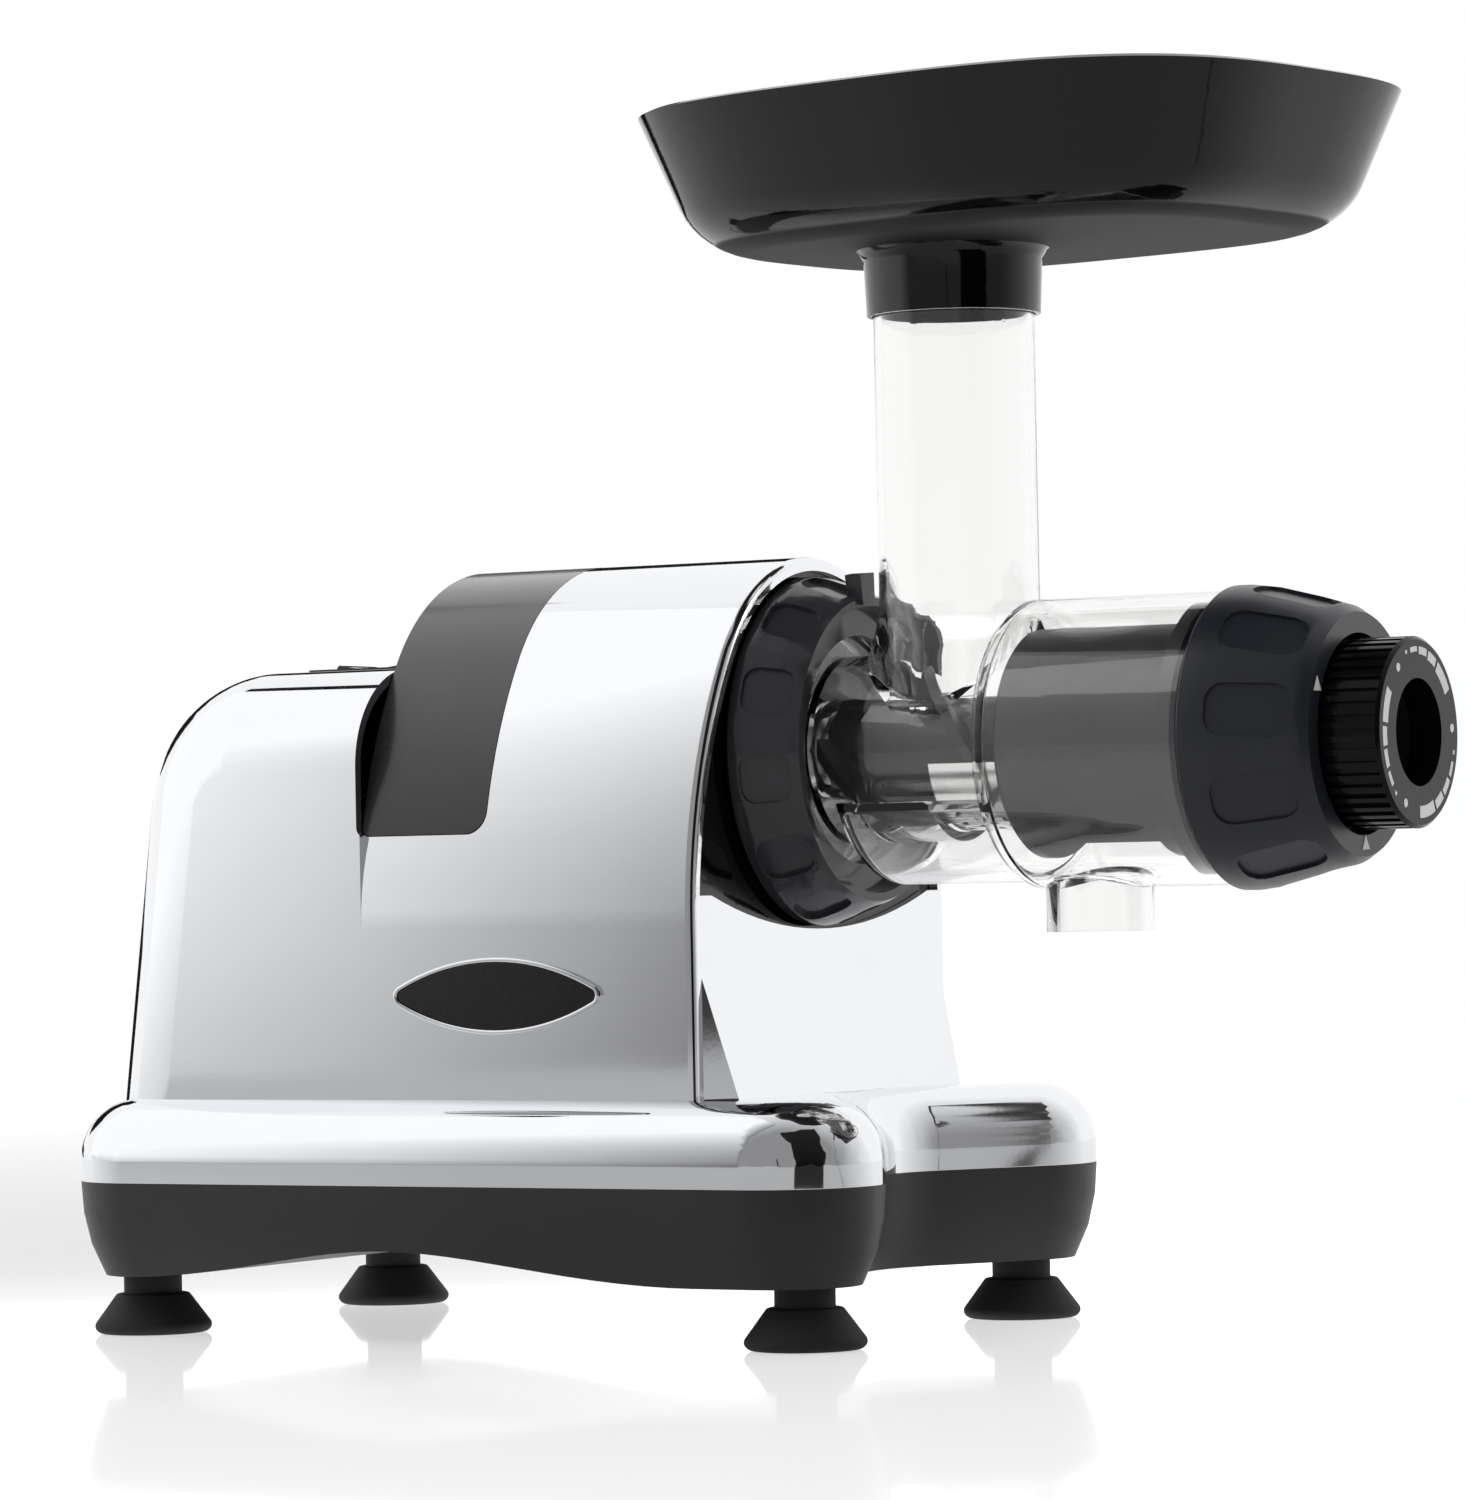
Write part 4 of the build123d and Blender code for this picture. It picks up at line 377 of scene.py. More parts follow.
def finishes():
    """Every finish by its name, which is the record's slot name where there is one."""
    if LOOKS:
        return LOOKS
    c = bpy.context.scene.juicer_colours
    chrome, gloss = tuple(c.chrome), tuple(c.gloss)
    made = [
        chrome_plating("chrome_shell", chrome), chrome_plating("chrome_trim", lighter(chrome, 0.97)),
        moulded_plastic("base_dark", tuple(c.tub), 0.42), gloss_plastic("gloss_black", gloss),
        gloss_plastic("ring_gloss", (0.040, 0.038, 0.044), 0.12), gloss_plastic("badge_black", gloss, 0.04),
        gloss_plastic("tray_gloss", gloss, 0.07, 0.5, bpy.context.scene.juicer_sizes.tray_floor),
        gloss_plastic("dial_gloss", lighter(gloss, 1.2), 0.16, 0.2),
        moulded_plastic("matt_black", (0.02, 0.02, 0.021), 0.5), band_lacquer("band_charcoal", tuple(c.band)),
        moulded_plastic("cap_charcoal", tuple(c.cap), 0.30, 3800, 0.00003, 0.12),
        rubber("rubber_black", (0.011, 0.010, 0.011)), clear_plastic("clear_drum", tuple(c.clear)),
        ground_metal("zinc_steel", (0.56, 0.57, 0.58), 0.28), cast_metal("cast_alloy", (0.55, 0.56, 0.57)),
        ground_metal("stainless", (0.66, 0.66, 0.65), 0.14), ground_metal("bronze", (0.55, 0.36, 0.16), 0.4),
        moulded_plastic("nylon_gear", (0.62, 0.60, 0.53), 0.42, 1500, 0.00005, 0.08),
        moulded_plastic("auger_grey", (0.028, 0.027, 0.028), 0.40, 2000, 0.00004, 0.15),
        stacked_sheets("lamination", (0.30, 0.30, 0.32)),
        varnished_wire("copper_winding", (0.62, 0.27, 0.10)), printed_white("white_print", tuple(c.mark)),
    ]
    LOOKS.update({m.name.split(".")[0]: m for m in made})
    return LOOKS


# ---------------------------------------------------------------- modelling helpers

def clear_selection():
    """Nothing selected, object mode."""
    if bpy.context.object and bpy.context.object.mode != "OBJECT":
        bpy.ops.object.mode_set(mode="OBJECT")
    bpy.ops.object.select_all(action="DESELECT")


def work_on(obj):
    """Makes obj the only selected and active object."""
    clear_selection()
    obj.hide_viewport = obj.hide_render = False
    obj.select_set(True)
    bpy.context.view_layer.objects.active = obj


def settle(obj, name):
    """Puts the object's place, turn and size into its mesh and gives it its name."""
    work_on(obj)
    obj.name = obj.data.name = name
    bpy.ops.object.transform_apply(location=True, rotation=True, scale=True)
    return obj


def apply_modifier(obj, kind, **settings):
    """Adds a modifier, sets it and applies it."""
    work_on(obj)
    modifier = obj.modifiers.new(kind.title(), kind)
    for key, value in settings.items():
        setattr(modifier, key, value)
    bpy.ops.object.modifier_apply(modifier=modifier.name)


def extrude(height):
    """Extrudes what is selected upwards."""
    bpy.ops.mesh.extrude_region_move(TRANSFORM_OT_translate={"value": (0, 0, height)})


def face_outwards():
    """Faces turned outwards, and back to object mode."""
    bpy.ops.mesh.select_all(action="SELECT")
    bpy.ops.mesh.normals_make_consistent(inside=False)
    bpy.ops.object.mode_set(mode="OBJECT")


def smooth(obj, angle=32.0):
    """Smooth shading that keeps edges sharper than angle, with flat faces kept flat."""
    work_on(obj)
    bpy.ops.object.shade_smooth_by_angle(angle=math.radians(angle))
    apply_modifier(obj, "WEIGHTED_NORMAL", keep_sharp=True, weight=60)


def dress(obj, body, slot, material=None, stands_for=()):
    """Gives a finished piece its material and its place on a body."""
    obj.data.materials.clear()
    obj.data.materials.append(finishes()[material or slot])
    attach(obj, body)
    if stands_for:
        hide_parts(*stands_for)
    return obj


def finished_copy(node, edge=None, angle=32.0, material=None):
    """The node's own form with its triangles merged, its edges softened and its faces smooth."""
    source = NODES[node]
    obj = source.copy()
    obj.data = source.data.copy()
    obj.parent = None
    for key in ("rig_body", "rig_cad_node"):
        if key in obj:
            del obj[key]
    bpy.context.scene.collection.objects.link(obj)
    settle(obj, node + "_finished")
    bpy.ops.object.mode_set(mode="EDIT")
    bpy.ops.mesh.select_all(action="SELECT")
    bpy.ops.mesh.remove_doubles(threshold=0.000002)
    bpy.ops.mesh.dissolve_limited(angle_limit=math.radians(0.3))
    bpy.ops.object.mode_set(mode="OBJECT")
    edge = bpy.context.scene.juicer_sizes.edge if edge is None else edge
    if edge:
        apply_modifier(obj, "BEVEL", width=edge, segments=2, limit_method="ANGLE", use_clamp_overlap=True,
                       angle_limit=math.radians(max(angle, 34)), miter_outer="MITER_ARC")
    smooth(obj, angle)
    return dress(obj, source["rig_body"], SLOT_OF[node], material, [node])


def lathe(name, points, centre):
    """Closed upright ring from (radius, height) points, grown from a circle by extruding and resizing."""
    clear_selection()
    radius, height = points[0]
    bpy.ops.mesh.primitive_circle_add(vertices=96, radius=radius, fill_type="NOTHING",
                                      location=(0, 0, height))
    obj = bpy.context.object
    bpy.ops.object.transform_apply(location=True)
    bpy.ops.object.mode_set(mode="EDIT")
    bpy.ops.mesh.select_mode(type="EDGE")
    bpy.ops.mesh.select_all(action="SELECT")
    for next_radius, next_height in points[1:]:
        extrude(next_height - height)
        share = next_radius / radius
        bpy.ops.transform.resize(value=(share, share, 1), center_override=(0, 0, next_height))
        radius, height = next_radius, next_height
    bpy.ops.mesh.select_all(action="DESELECT")
    bpy.ops.mesh.select_non_manifold()
    bpy.ops.mesh.bridge_edge_loops()
    face_outwards()
    obj.location = centre
    return settle(obj, name)


def plate_mark(corners, radius, thickness, place, turn):
    """Small raised plate on a face that looks along +X; turn is its angle on that face."""
    clear_selection()
    bpy.ops.mesh.primitive_circle_add(vertices=corners, radius=radius, fill_type="NGON", location=(0, 0, 0))
    obj = bpy.context.object
    bpy.ops.object.mode_set(mode="EDIT")
    bpy.ops.mesh.select_all(action="SELECT")
    extrude(thickness)
    face_outwards()
    # the circle's plane turns to face +X, and its first corner points outwards
    obj.matrix_world = (Matrix.Translation(place) @ Matrix.Rotation(turn, 4, "X")
                        @ Matrix(((0, 0, 1, 0), (1, 0, 0, 0), (0, 1, 0, 0), (0, 0, 0, 1))))
    return settle(obj, "mark")


def arc_mark(inner, outer, first, last, x, thickness):
    """Small raised bar bent round the drum line, on a face that looks along +X."""
    clear_selection()
    steps = max(2, round(abs(last - first) / 3))
    bpy.ops.mesh.primitive_grid_add(x_subdivisions=steps, y_subdivisions=1, size=1, location=(0, 0, 0))
    obj = bpy.context.object
    for v in obj.data.vertices:
        v.co = polar(inner + (outer - inner) * (v.co.y + 0.5), first + (last - first) * (v.co.x + 0.5), x)
    bpy.ops.object.mode_set(mode="EDIT")
    bpy.ops.mesh.select_all(action="SELECT")
    bpy.ops.mesh.extrude_region_move(TRANSFORM_OT_translate={"value": (thickness, 0, 0)})
    face_outwards()
    return settle(obj, "mark")


def lens_ring(name, steps, fill):
    """Lens with blunt tips on the near wall, from (inset, height) steps; grown as a stack of unit circles."""
    s = bpy.context.scene.juicer_sizes
    low, high = (Vector(p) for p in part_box("badge_rim"))
    half_height = (high.z - low.z) / 2
    tip_x = s.badge_length / 2 - s.badge_tip
    # radius of the two long arcs that run into the tips
    arc = (tip_x ** 2 + half_height ** 2 - s.badge_tip ** 2) / (2 * (half_height - s.badge_tip))
    clear_selection()
    bpy.ops.mesh.primitive_circle_add(vertices=160, radius=1, fill_type="NOTHING", location=(0, 0, 0))
    obj = bpy.context.object
    bpy.ops.object.mode_set(mode="EDIT")
    bpy.ops.mesh.select_mode(type="EDGE")
    bpy.ops.mesh.select_all(action="SELECT")
    for _ in steps[1:]:
        extrude(1)
    if fill:
        bpy.ops.mesh.edge_face_add()
    else:
        bpy.ops.mesh.select_all(action="DESELECT")
        bpy.ops.mesh.select_non_manifold()
        bpy.ops.mesh.bridge_edge_loops()
    bpy.ops.object.mode_set(mode="OBJECT")
    for v in obj.data.vertices:
        inset, height = steps[round(v.co.z)]
        out, up = abs(v.co.x), abs(v.co.y)
        if out * (arc - s.badge_tip) < tip_x:
            x, z = (arc - inset) * out, (arc - inset) * up - (arc - half_height)
        else:
            x, z = tip_x + (s.badge_tip - inset) * out, (s.badge_tip - inset) * up
        v.co = ((low.x + high.x) / 2 + s.badge_shift + math.copysign(x, v.co.x), high.y - height,
                (low.z + high.z) / 2 + math.copysign(z, v.co.y))
    bpy.ops.object.mode_set(mode="EDIT")
    face_outwards()
    return settle(obj, name)


def joined(objects, name):
    """Joins pieces into one object."""
    clear_selection()
    for obj in objects:
        obj.select_set(True)
    bpy.context.view_layer.objects.active = objects[0]
    bpy.ops.object.join()
    objects[0].name = objects[0].data.name = name
    return objects[0]


def polar(radius, degrees, x):
    """Point on a face across the drum line, at an angle from +Y towards +Z."""
    a = math.radians(degrees)
    return Vector((x, radius * math.cos(a), DRUM_Z + radius * math.sin(a)))


# ---------------------------------------------------------------- pieces

class JUICER_OT_base(bpy.types.Operator):
    """Tub, rim, feet, their screws and the lead's gland"""

    bl_idname = "juicer.base"
    bl_label = "Base and feet"

    def execute(self, context):
        finished_copy("base_tub")
        finished_copy("base_rim", edge=0.0005)
        for end in ("rear", "front"):
            for side in ("near", "far"):
                finished_copy(f"foot_{end}_{side}", edge=0.0005)
        for node in ("foot_screws", "housing_screws", "cord_gland"):
            finished_copy(node, edge=0.0002)
        return {"FINISHED"}


class JUICER_OT_housing(bpy.types.Operator):
    """Bright housing, its front plate, the handle band and the bare badge"""

    bl_idname = "juicer.housing"
    bl_label = "Housing and band"

    def execute(self, context):
        finished_copy("upper_housing", edge=0.0004, angle=28)
        finished_copy("front_fascia")
        finished_copy("handle_band", edge=0.0005)
        edge = context.scene.juicer_sizes.badge_rim
        # steps are (inset from the badge's outline, height on the wall)
        plate = lens_ring("badge_plate_lens", [(edge, 0.0), (edge, 0.0007), (edge + 0.0001, 0.0009),
                                               (edge + 0.0004, 0.0010)], fill=True)
        smooth(plate, 40)
        dress(plate, NODES["badge_plate"]["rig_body"], SLOT_OF["badge_plate"], "badge_black", ["badge_plate"])
        rim = lens_ring("badge_rim_lens", [(0.0, 0.0), (0.0, 0.0011), (0.0001, 0.0014), (0.0004, 0.0016),
                                           (edge - 0.0004, 0.0016), (edge - 0.0001, 0.0014), (edge, 0.0011),
                                           (edge, 0.0)], fill=False)
        smooth(rim, 40)
        dress(rim, NODES["badge_rim"]["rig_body"], SLOT_OF["badge_rim"], None, ["badge_rim"])
        return {"FINISHED"}


class JUICER_OT_switch(bpy.types.Operator):
    """Bezel and rocker of the three-position switch"""

    bl_idname = "juicer.switch"
    bl_label = "Switch"

    def execute(self, context):
        finished_copy("switch_bezel", edge=0.0004)
        finished_copy("switch_rocker", edge=0.0004)
        return {"FINISHED"}


class JUICER_OT_drum(bpy.types.Operator):
    """Clear drum with screen and auger, and the locking ring"""

    bl_idname = "juicer.drum"
    bl_label = "Drum and ring"

    def execute(self, context):
        finished_copy("drum", edge=0.0004)
        finished_copy("locking_ring", edge=0.0006, material="ring_gloss")
        finished_copy("screen_mesh", edge=0.0)
        finished_copy("screen_frame", edge=0.0004, material="auger_grey")
        finished_copy("auger", edge=0.0006, material="auger_grey")
        finished_copy("auger_spindle", edge=0.0003)
        return {"FINISHED"}


class JUICER_OT_cap(bpy.types.Operator):
    """End cap with its pointers"""

    bl_idname = "juicer.cap"
    bl_label = "End cap"

    def execute(self, context):
        sizes = context.scene.juicer_sizes
        finished_copy("drum_cap", edge=0.0006)
        marks = []
        for angle, turn in ((155, 0), (-88, 2), (33, 123)):
            place = polar(sizes.pointer_line, angle, CAP_FACE_X)
            marks.append(plate_mark(3, sizes.pointer, 1.2 * sizes.print_height, place, math.radians(turn)))
        dress(joined(marks, "cap_pointers"), "cap", "cap_charcoal", "white_print")
        return {"FINISHED"}


class JUICER_OT_dial(bpy.types.Operator):
    """Ribbed end dial with its dots and growing bars"""

    bl_idname = "juicer.dial"
    bl_label = "End dial"

    def execute(self, context):
        sizes = context.scene.juicer_sizes
        finished_copy("end_dial", edge=0.0003, material="dial_gloss")
        # each dot is followed by bars that grow in width (in millimetres) and length (in degrees from it)
        bars = ((0.9, 15.5, 18.5), (1.3, 24, 35), (1.9, 38, 51), (2.4, 53.5, 67), (3.0, 70, 95))
        marks = []
        for start in (126, 3.5, -116.5):
            place = polar(sizes.dot_line, start, DIAL_FACE_X)
            marks.append(plate_mark(20, sizes.dot, sizes.print_height, place, 0))
            for width, first, last in bars:
                marks.append(arc_mark(sizes.bar_line - width / 1000, sizes.bar_line, start - first,
                                      start - last, DIAL_FACE_X, sizes.print_height))
        dress(joined(marks, "dial_marks"), "dial", "gloss_black", "white_print")
        return {"FINISHED"}


def tray_rings(s):
    """(half length, half width, height) of the tray's outside, from its floor up to its rim."""
    rise = TRAY_RIM_Z - s.tray_floor
    rounding_steps, side_steps = 8, 5
    # (height above the floor, inset from the flaring side) round the foot, and then up the side
    steps = []
    for k in range(rounding_steps + 1):
        bend = math.radians(90 * k / rounding_steps)
        steps.append((s.tray_rounding * (1 - math.cos(bend)), s.tray_rounding * (1 - math.sin(bend))))
    for k in range(1, side_steps + 1):
        steps.append((s.tray_rounding + (rise - s.tray_rounding) * k / side_steps, 0.0))
    rings = []
    for height, inset in steps:
        inset += s.tray_flare * (1 - height / rise)
        rings.append((s.tray_half_length - inset, s.tray_half_width - inset, s.tray_floor + height))
    return rings


def tray_dish(s):
    """Flared dish with a rounded plan, grown from its floor, with the chute's hole."""
    rings = tray_rings(s)
    length, width, height = rings[0]
    clear_selection()
    bpy.ops.mesh.primitive_circle_add(vertices=128, radius=1, fill_type="NGON", location=(0, 0, 0))
    dish = bpy.context.object
    for v in dish.data.vertices:
        a = math.atan2(v.co.y, v.co.x)
        v.co.x = math.copysign(length * abs(math.cos(a)) ** (2 / s.plan_power), math.cos(a))
        v.co.y = math.copysign(width * abs(math.sin(a)) ** (2 / s.plan_power), math.sin(a))
        v.co.z = height
    bpy.ops.object.mode_set(mode="EDIT")
    bpy.ops.mesh.select_all(action="SELECT")
    bpy.ops.mesh.select_mode(type="FACE")
    for next_length, next_width, next_height in rings[1:]:
        extrude(next_height - height)
        bpy.ops.transform.resize(value=(next_length / length, next_width / width, 1),
                                 center_override=(0, 0, next_height))
        length, width, height = next_length, next_width, next_height
    bpy.ops.mesh.delete(type="ONLY_FACE")
    bpy.ops.mesh.select_mode(type="VERT")
    face_outwards()
    dish.rotation_euler = (0, 0, s.tray_turn)
    dish.location = (s.tray_x, 0, 0)
    settle(dish, "tray_dish")
    apply_modifier(dish, "SOLIDIFY", thickness=s.tray_wall, offset=-1, use_even_offset=True)
    reach = 0.01
    cutter = lathe("chute_cut", [(0.0001, -reach), (s.chute_bore, -reach), (s.chute_bore, reach),
                                 (0.0001, reach)], (CHUTE_X, 0, s.tray_floor))
    apply_modifier(dish, "BOOLEAN", operation="DIFFERENCE", object=cutter, solver="EXACT")
    bpy.data.objects.remove(cutter)
    apply_modifier(dish, "BEVEL", width=0.0007, segments=3, limit_method="ANGLE",
                   angle_limit=math.radians(50), use_clamp_overlap=True)
    return dish


def tray_collar(s):
    """Flange under the dish that runs down into a sleeve round the chute."""
    # (radius, height from the dish's underside), from the bore out over the flange and down the sleeve
    profile = ((s.chute_bore, 0.0010), (0.0293, 0.0010), (0.0272, -0.0008), (0.0245, -0.0026),
               (0.0233, -0.0052), (0.0227, -0.0190), (0.0224, -0.0193), (0.0213, -0.0193),
               (0.0213, -0.0024), (s.chute_bore, -0.0024))
    return lathe("tray_collar", [(radius, s.tray_floor + height) for radius, height in profile],
                 (CHUTE_X, 0, 0))


class JUICER_OT_tray(bpy.types.Operator):
    """Loading tray: a flared dish and the collar that sits on the chute"""

    bl_idname = "juicer.tray"
    bl_label = "Tray"

    def execute(self, context):
        sizes = context.scene.juicer_sizes
        dish = tray_dish(sizes)
        smooth(dish, 35)
        dress(dish, "tray", "gloss_black", "tray_gloss", ["tray"])
        collar = tray_collar(sizes)
        smooth(collar, 35)
        dress(collar, "tray", "gloss_black")
        return {"FINISHED"}


class JUICER_OT_drive(bpy.types.Operator):
    """Finishes of the motor, the gear train and the small inner pieces"""

    bl_idname = "juicer.drive"
    bl_label = "Drive train finishes"

    def execute(self, context):
        looks = finishes()
        for name, node in NODES.items():
            if not node.hide_render:
                if node.material_slots:
                    node.material_slots[0].material = looks[SLOT_OF[name]]
                else:
                    node.data.materials.append(looks[SLOT_OF[name]])
        return {"FINISHED"}


# ---------------------------------------------------------------- studio

# Level direction that the studio darkens towards, a place on each of the base's front lobes, in metres, and
# the azimuth of the wide flag in front.
FRONT = (0.5, -0.866, 0)
NEAR_LOBE = (0.033, -0.082, 0.05)
FAR_LOBE = (0.0505, 0.0385, 0.048)
FLAG_FRONT_AZIMUTH = -33


def floor_material():
    """Pale polished floor that fades into the backdrop away from the object."""
    pale = (0.9, 0.9, 0.9, 1)
    s = Shader("studio_floor", Base_Color=pale, Roughness=0.055, IOR=2.0, Emission_Color=pale,
               Emission_Strength=0.62)
    x, y = s.axis("X"), s.axis("Y")
    reach = (x * x + y * y) ** 0.5
    return s.feed(Alpha=1 - s.ramp(reach, 0.45, 1.5))


def bounce_material():
    """The floor as reflections see it: darker in front than behind, with the feet of two dark flags."""
    s = Shader("studio_bounce", Base_Color=(0, 0, 0, 1), Roughness=1.0, Emission_Strength=1.0)
    x, y = s.axis("X"), s.axis("Y")
    front = (x * FRONT[0] + y * FRONT[1]) * (x * x + y * y + 0.0001) ** -0.5
    dx, dy = x - NEAR_LOBE[0], y - NEAR_LOBE[1]
    reach = (dx * dx + dy * dy + 0.0001) ** 0.5
    aim = heading(FLAG_FRONT_AZIMUTH, 0)
    # the foot of the wide flag is a wedge, and that of the narrow one a strip, from 0.55 m outwards
    wedge = (dx * aim.x + dy * aim.y > reach * 0.954) * (reach > 0.55)
    strip = (x > 0.55) * (1 - (abs(y - 0.034) > 0.0042))
    fade = (s.ramp(front, 0.45, -0.45) * 0.45 + 0.45) * (1 - wedge) * (1 - strip)
    return s.feed(Emission_Color=s.grey(fade))


def light_box_material():
    """Soft box that fades out towards its right and its foot."""
    s = Shader("light_box", Base_Color=(0, 0, 0, 1), Roughness=1.0, Emission_Strength=1.12)
    across, height = s.axis("X"), s.axis("Y")
    fade = s.ramp(across, -0.20, 0.12) * 0.80 + 0.20
    foot = s.ramp(height, -0.10, 0.17) * 0.55 + 0.45
    return s.feed(Emission_Color=s.grey(fade * foot))


def studio_surround():
    """Surround that is white to look at, and darker towards the front right for light and reflections."""
    world = bpy.data.worlds.new("studio_surround")
    world.use_nodes = True
    tree = world.node_tree
    backdrop = tree.nodes["Background"]
    backdrop.inputs["Color"].default_value = (1, 1, 1, 1)
    room = tree.nodes.new("ShaderNodeBackground")
    front = tree.nodes.new("ShaderNodeVectorMath")
    front.operation = "DOT_PRODUCT"
    front.inputs[1].default_value = FRONT
    ramp = tree.nodes.new("ShaderNodeMapRange")
    for socket, value in (("From Min", -0.45), ("From Max", 0.45), ("To Min", 1.05), ("To Max", 0.30)):
        ramp.inputs[socket].default_value = value
    tree.links.new(tree.nodes.new("ShaderNodeTexCoord").outputs["Generated"], front.inputs[0])
    tree.links.new(front.outputs["Value"], ramp.inputs["Value"])
    tree.links.new(ramp.outputs[0], room.inputs["Color"])
    path = tree.nodes.new("ShaderNodeLightPath")
    seen = tree.nodes.new("ShaderNodeMath")
    seen.operation = "MAXIMUM"
    mix = tree.nodes.new("ShaderNodeMixShader")
    tree.links.new(path.outputs["Is Camera Ray"], seen.inputs[0])
    tree.links.new(path.outputs["Is Transmission Ray"], seen.inputs[1])
    tree.links.new(seen.outputs[0], mix.inputs[0])
    tree.links.new(room.outputs[0], mix.inputs[1])
    tree.links.new(backdrop.outputs[0], mix.inputs[2])
    tree.links.new(mix.outputs[0], tree.nodes["World Output"].inputs["Surface"])
    return world


def heading(azimuth, elevation):
    """Direction at an azimuth (0 is +X, 90 is +Y) and an elevation, in degrees."""
    a, e = math.radians(azimuth), math.radians(elevation)
    return Vector((math.cos(a) * math.cos(e), math.sin(a) * math.cos(e), math.sin(e)))


def card(name, place, first, last, width, material, distance=3.0, shift=0.0):
    """Strip that only reflections see, from one heading to another as seen from a place on the object.

    Its origin is at the first heading's end, and shift moves it sideways by a share of its width."""
    ends = [Vector(place) + distance * heading(*direction) for direction in (first, last)]
    along = (ends[1] - ends[0]).normalized()
    out = (Vector(place) - (ends[0] + ends[1]) / 2).normalized()
    side = along.cross(out).normalized()
    clear_selection()
    bpy.ops.mesh.primitive_plane_add(size=1)
    obj = bpy.context.object
    obj.name = name
    obj.data.transform(Matrix.Diagonal((width, (ends[1] - ends[0]).length, 1, 1))
                       @ Matrix.Translation((shift, 0.5, 0)))
    obj.matrix_world = (Matrix.Translation(ends[0])
                        @ Matrix((side, along, side.cross(along))).transposed().to_4x4())
    obj.data.materials.append(material)
    obj.visible_camera = obj.visible_shadow = obj.visible_diffuse = obj.visible_transmission = False
    return obj


def soft_light(name, centre, aim, width, height, power):
    """Soft box."""
    data = bpy.data.lights.new(name, "AREA")
    data.shape, data.size, data.size_y, data.energy = "RECTANGLE", width, height, power
    obj = bpy.data.objects.new(name, data)
    obj.location = centre
    obj.rotation_mode = "QUATERNION"
    obj.rotation_quaternion = (Vector(aim) - Vector(centre)).to_track_quat("-Z", "Y")
    obj.visible_glossy = False
    bpy.context.scene.collection.objects.link(obj)
    return obj


def ground(name, radius, height, material):
    """Round level sheet under the object."""
    clear_selection()
    bpy.ops.mesh.primitive_circle_add(vertices=64, radius=radius, fill_type="NGON", location=(0, 0, height))
    obj = bpy.context.object
    obj.name = name
    obj.data.materials.append(material)
    return obj


def studio_camera():
    """Camera with a long lens, low in front of the near side."""
    data = bpy.data.cameras.new("camera")
    data.lens, data.sensor_width, data.clip_start = 147.04, 36.0, 0.05
    obj = bpy.data.objects.new("camera", data)
    right = Vector((0.85645, 0.51586, -0.01953))
    up = Vector((0.02744, -0.00772, 0.99959))
    back = right.cross(up).normalized()
    turn = Matrix((right, back.cross(right).normalized(), back)).transposed()
    obj.matrix_world = Matrix.Translation((0.823957, -1.394581, 0.119551)) @ turn.to_4x4()
    bpy.context.scene.collection.objects.link(obj)
    return obj


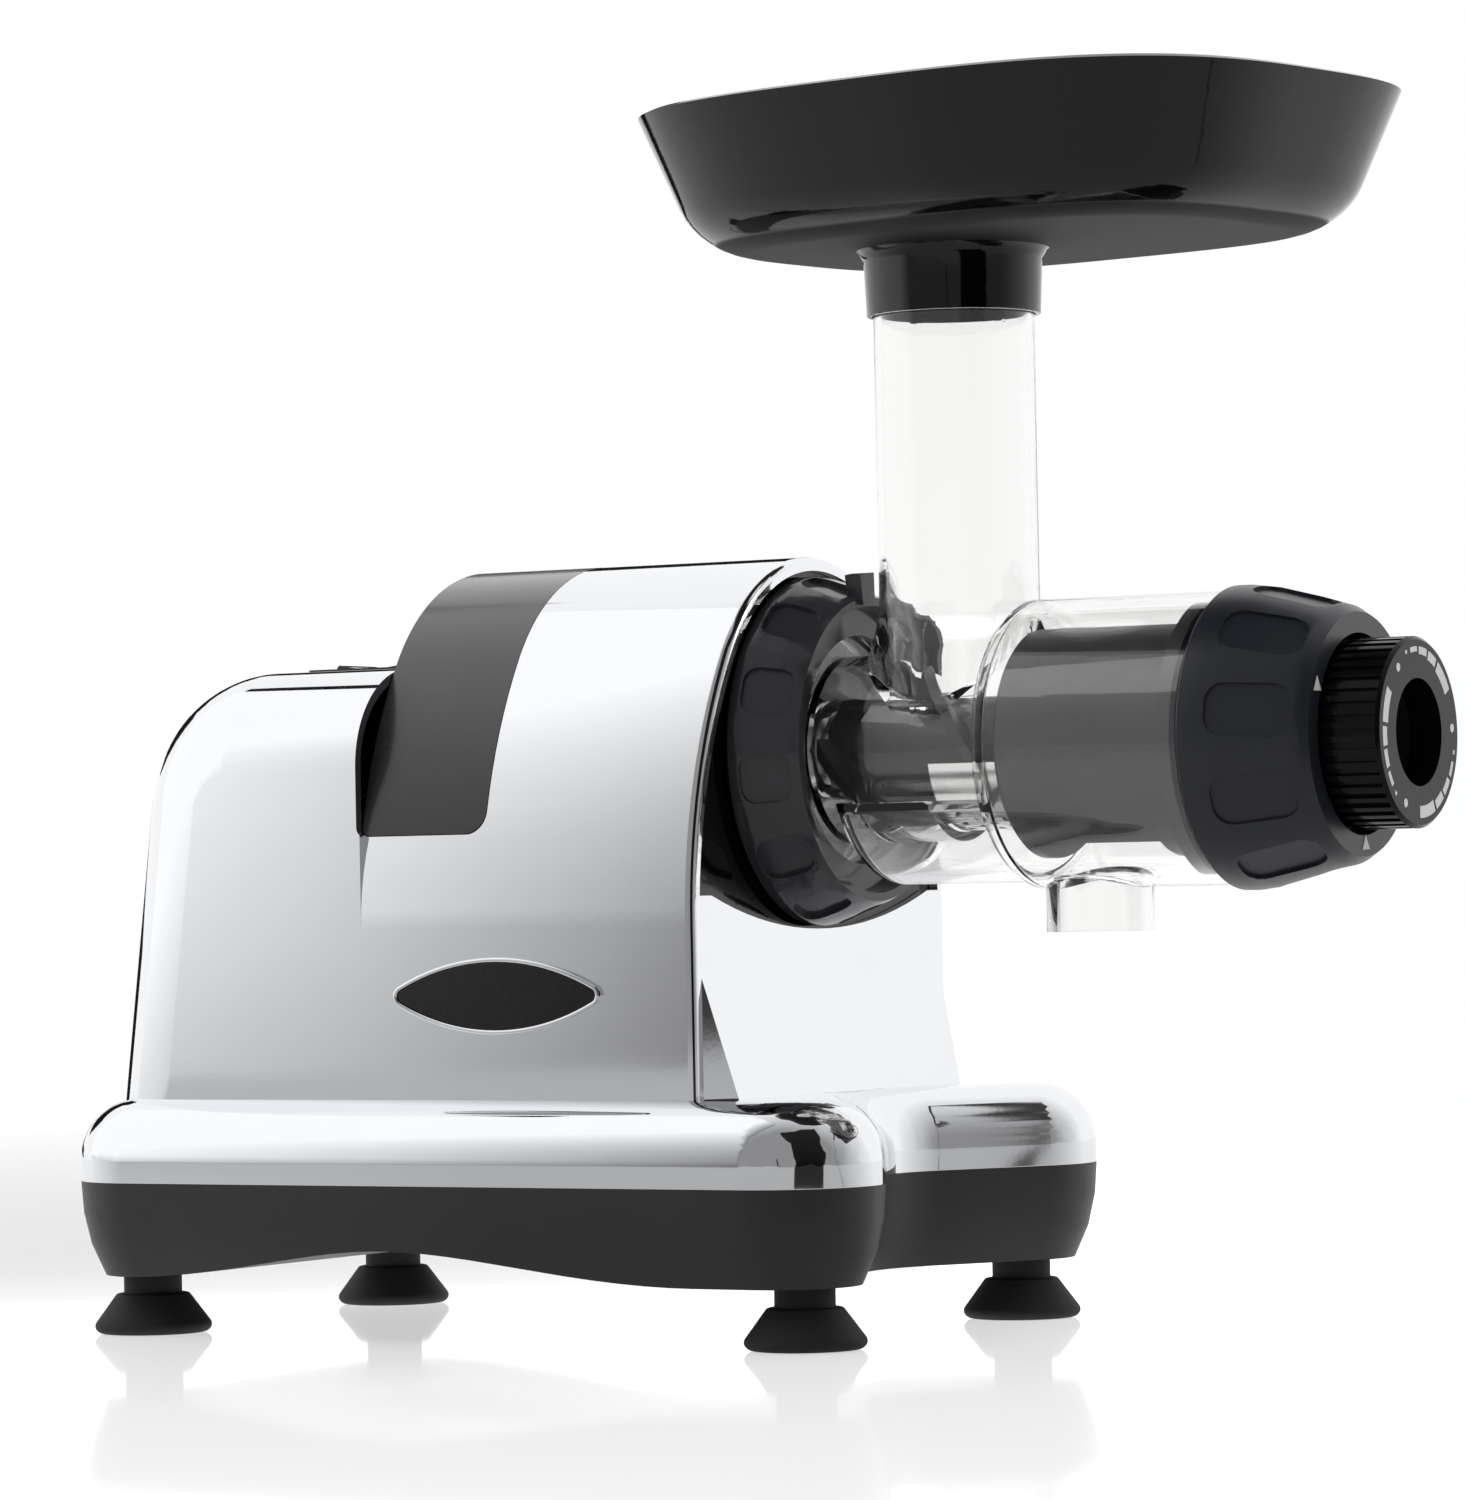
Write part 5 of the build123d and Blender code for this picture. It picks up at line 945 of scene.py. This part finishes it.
class JUICER_OT_stage(bpy.types.Operator):
    """Pale floor, soft lights, reflection cards and the camera"""

    bl_idname = "juicer.stage"
    bl_label = "Studio"

    def execute(self, context):
        scene = context.scene
        scene.view_settings.view_transform = "Standard"
        scene.world = studio_surround()
        # the camera sees one floor, and reflections and bounced light come from another just under it
        floor = ground("studio_floor", 1.6, -0.0003, floor_material())
        floor.visible_glossy = floor.visible_diffuse = False
        bounce = ground("studio_floor_bounce", 2.9, -0.0009, bounce_material())
        bounce.visible_camera = bounce.visible_transmission = False
        black = Shader("studio_black", Base_Color=(0, 0, 0, 1), Roughness=0.9).material
        middle = (0, 0, 0.12)
        # dark flags beside, above and behind the object give the plating its dark lines
        card("flag_front", NEAR_LOBE, (FLAG_FRONT_AZIMUTH, -8), (FLAG_FRONT_AZIMUTH, 66), 1.66, black)
        card("flag_apron", (0.0155, -0.060, 0.075), (-68.1, -8), (-68.1, 12), 0.070, black)
        bend = ((-0.2, -6), (-0.2, 5), (0.8, 15.5), (3.8, 27), (8.9, 37), (18.6, 48.5), (54.8, 60.2))
        for step, width in enumerate((0.015, 0.015, 0.015, 0.015, 0.06, 0.06)):
            card(f"flag_bend_{step}", FAR_LOBE, bend[step], bend[step + 1], width, black)
        card("flag_rear_low", middle, (138, -6), (138, 1.5), 2.1, black)
        card("flag_rear_high", middle, (138, 9), (138, 22), 2.1, black)
        card("flag_top", (-0.15, 0, 0.17), (150, 51), (-173, 39), 0.34, black)
        card("light_box", middle, (-126, -4), (-126, 76), 1.6, light_box_material(), 1.2, 0.375)
        soft_light("key", (-0.5, -1.4, 2.0), (0, 0, 0.1), 1.4, 1.4, 14)
        soft_light("fill", (1.7, 0.9, 1.2), (0.1, 0, 0.15), 0.9, 1.2, 7)
        scene.camera = studio_camera()
        return {"FINISHED"}


class JUICER_PT_panel(bpy.types.Panel):
    """Pieces of the juicer"""

    bl_idname = "JUICER_PT_panel"
    bl_label = "Juicer"
    bl_space_type = "VIEW_3D"
    bl_region_type = "UI"
    bl_category = "Juicer"

    def draw(self, context):
        for operator in OPERATORS:
            self.layout.operator(operator.bl_idname)
        for group in (context.scene.juicer_sizes, context.scene.juicer_colours):
            for name in group.__annotations__:
                self.layout.prop(group, name)


OPERATORS = (JUICER_OT_base, JUICER_OT_housing, JUICER_OT_switch, JUICER_OT_drum, JUICER_OT_cap,
             JUICER_OT_dial, JUICER_OT_tray, JUICER_OT_drive, JUICER_OT_stage)
CLASSES = (JuicerSizes, JuicerColours, *OPERATORS, JUICER_PT_panel)


def register():
    for item in CLASSES:
        bpy.utils.register_class(item)
    bpy.types.Scene.juicer_sizes = PointerProperty(type=JuicerSizes)
    bpy.types.Scene.juicer_colours = PointerProperty(type=JuicerColours)


def unregister():
    del bpy.types.Scene.juicer_sizes
    del bpy.types.Scene.juicer_colours
    for item in reversed(CLASSES):
        bpy.utils.unregister_class(item)


def main():
    register()
    bpy.ops.juicer.base()
    bpy.ops.juicer.housing()
    bpy.ops.juicer.switch()
    bpy.ops.juicer.drum()
    bpy.ops.juicer.cap()
    bpy.ops.juicer.dial()
    bpy.ops.juicer.tray()
    bpy.ops.juicer.drive()
    bpy.ops.juicer.stage()


if __name__ == "__main__":
    main()
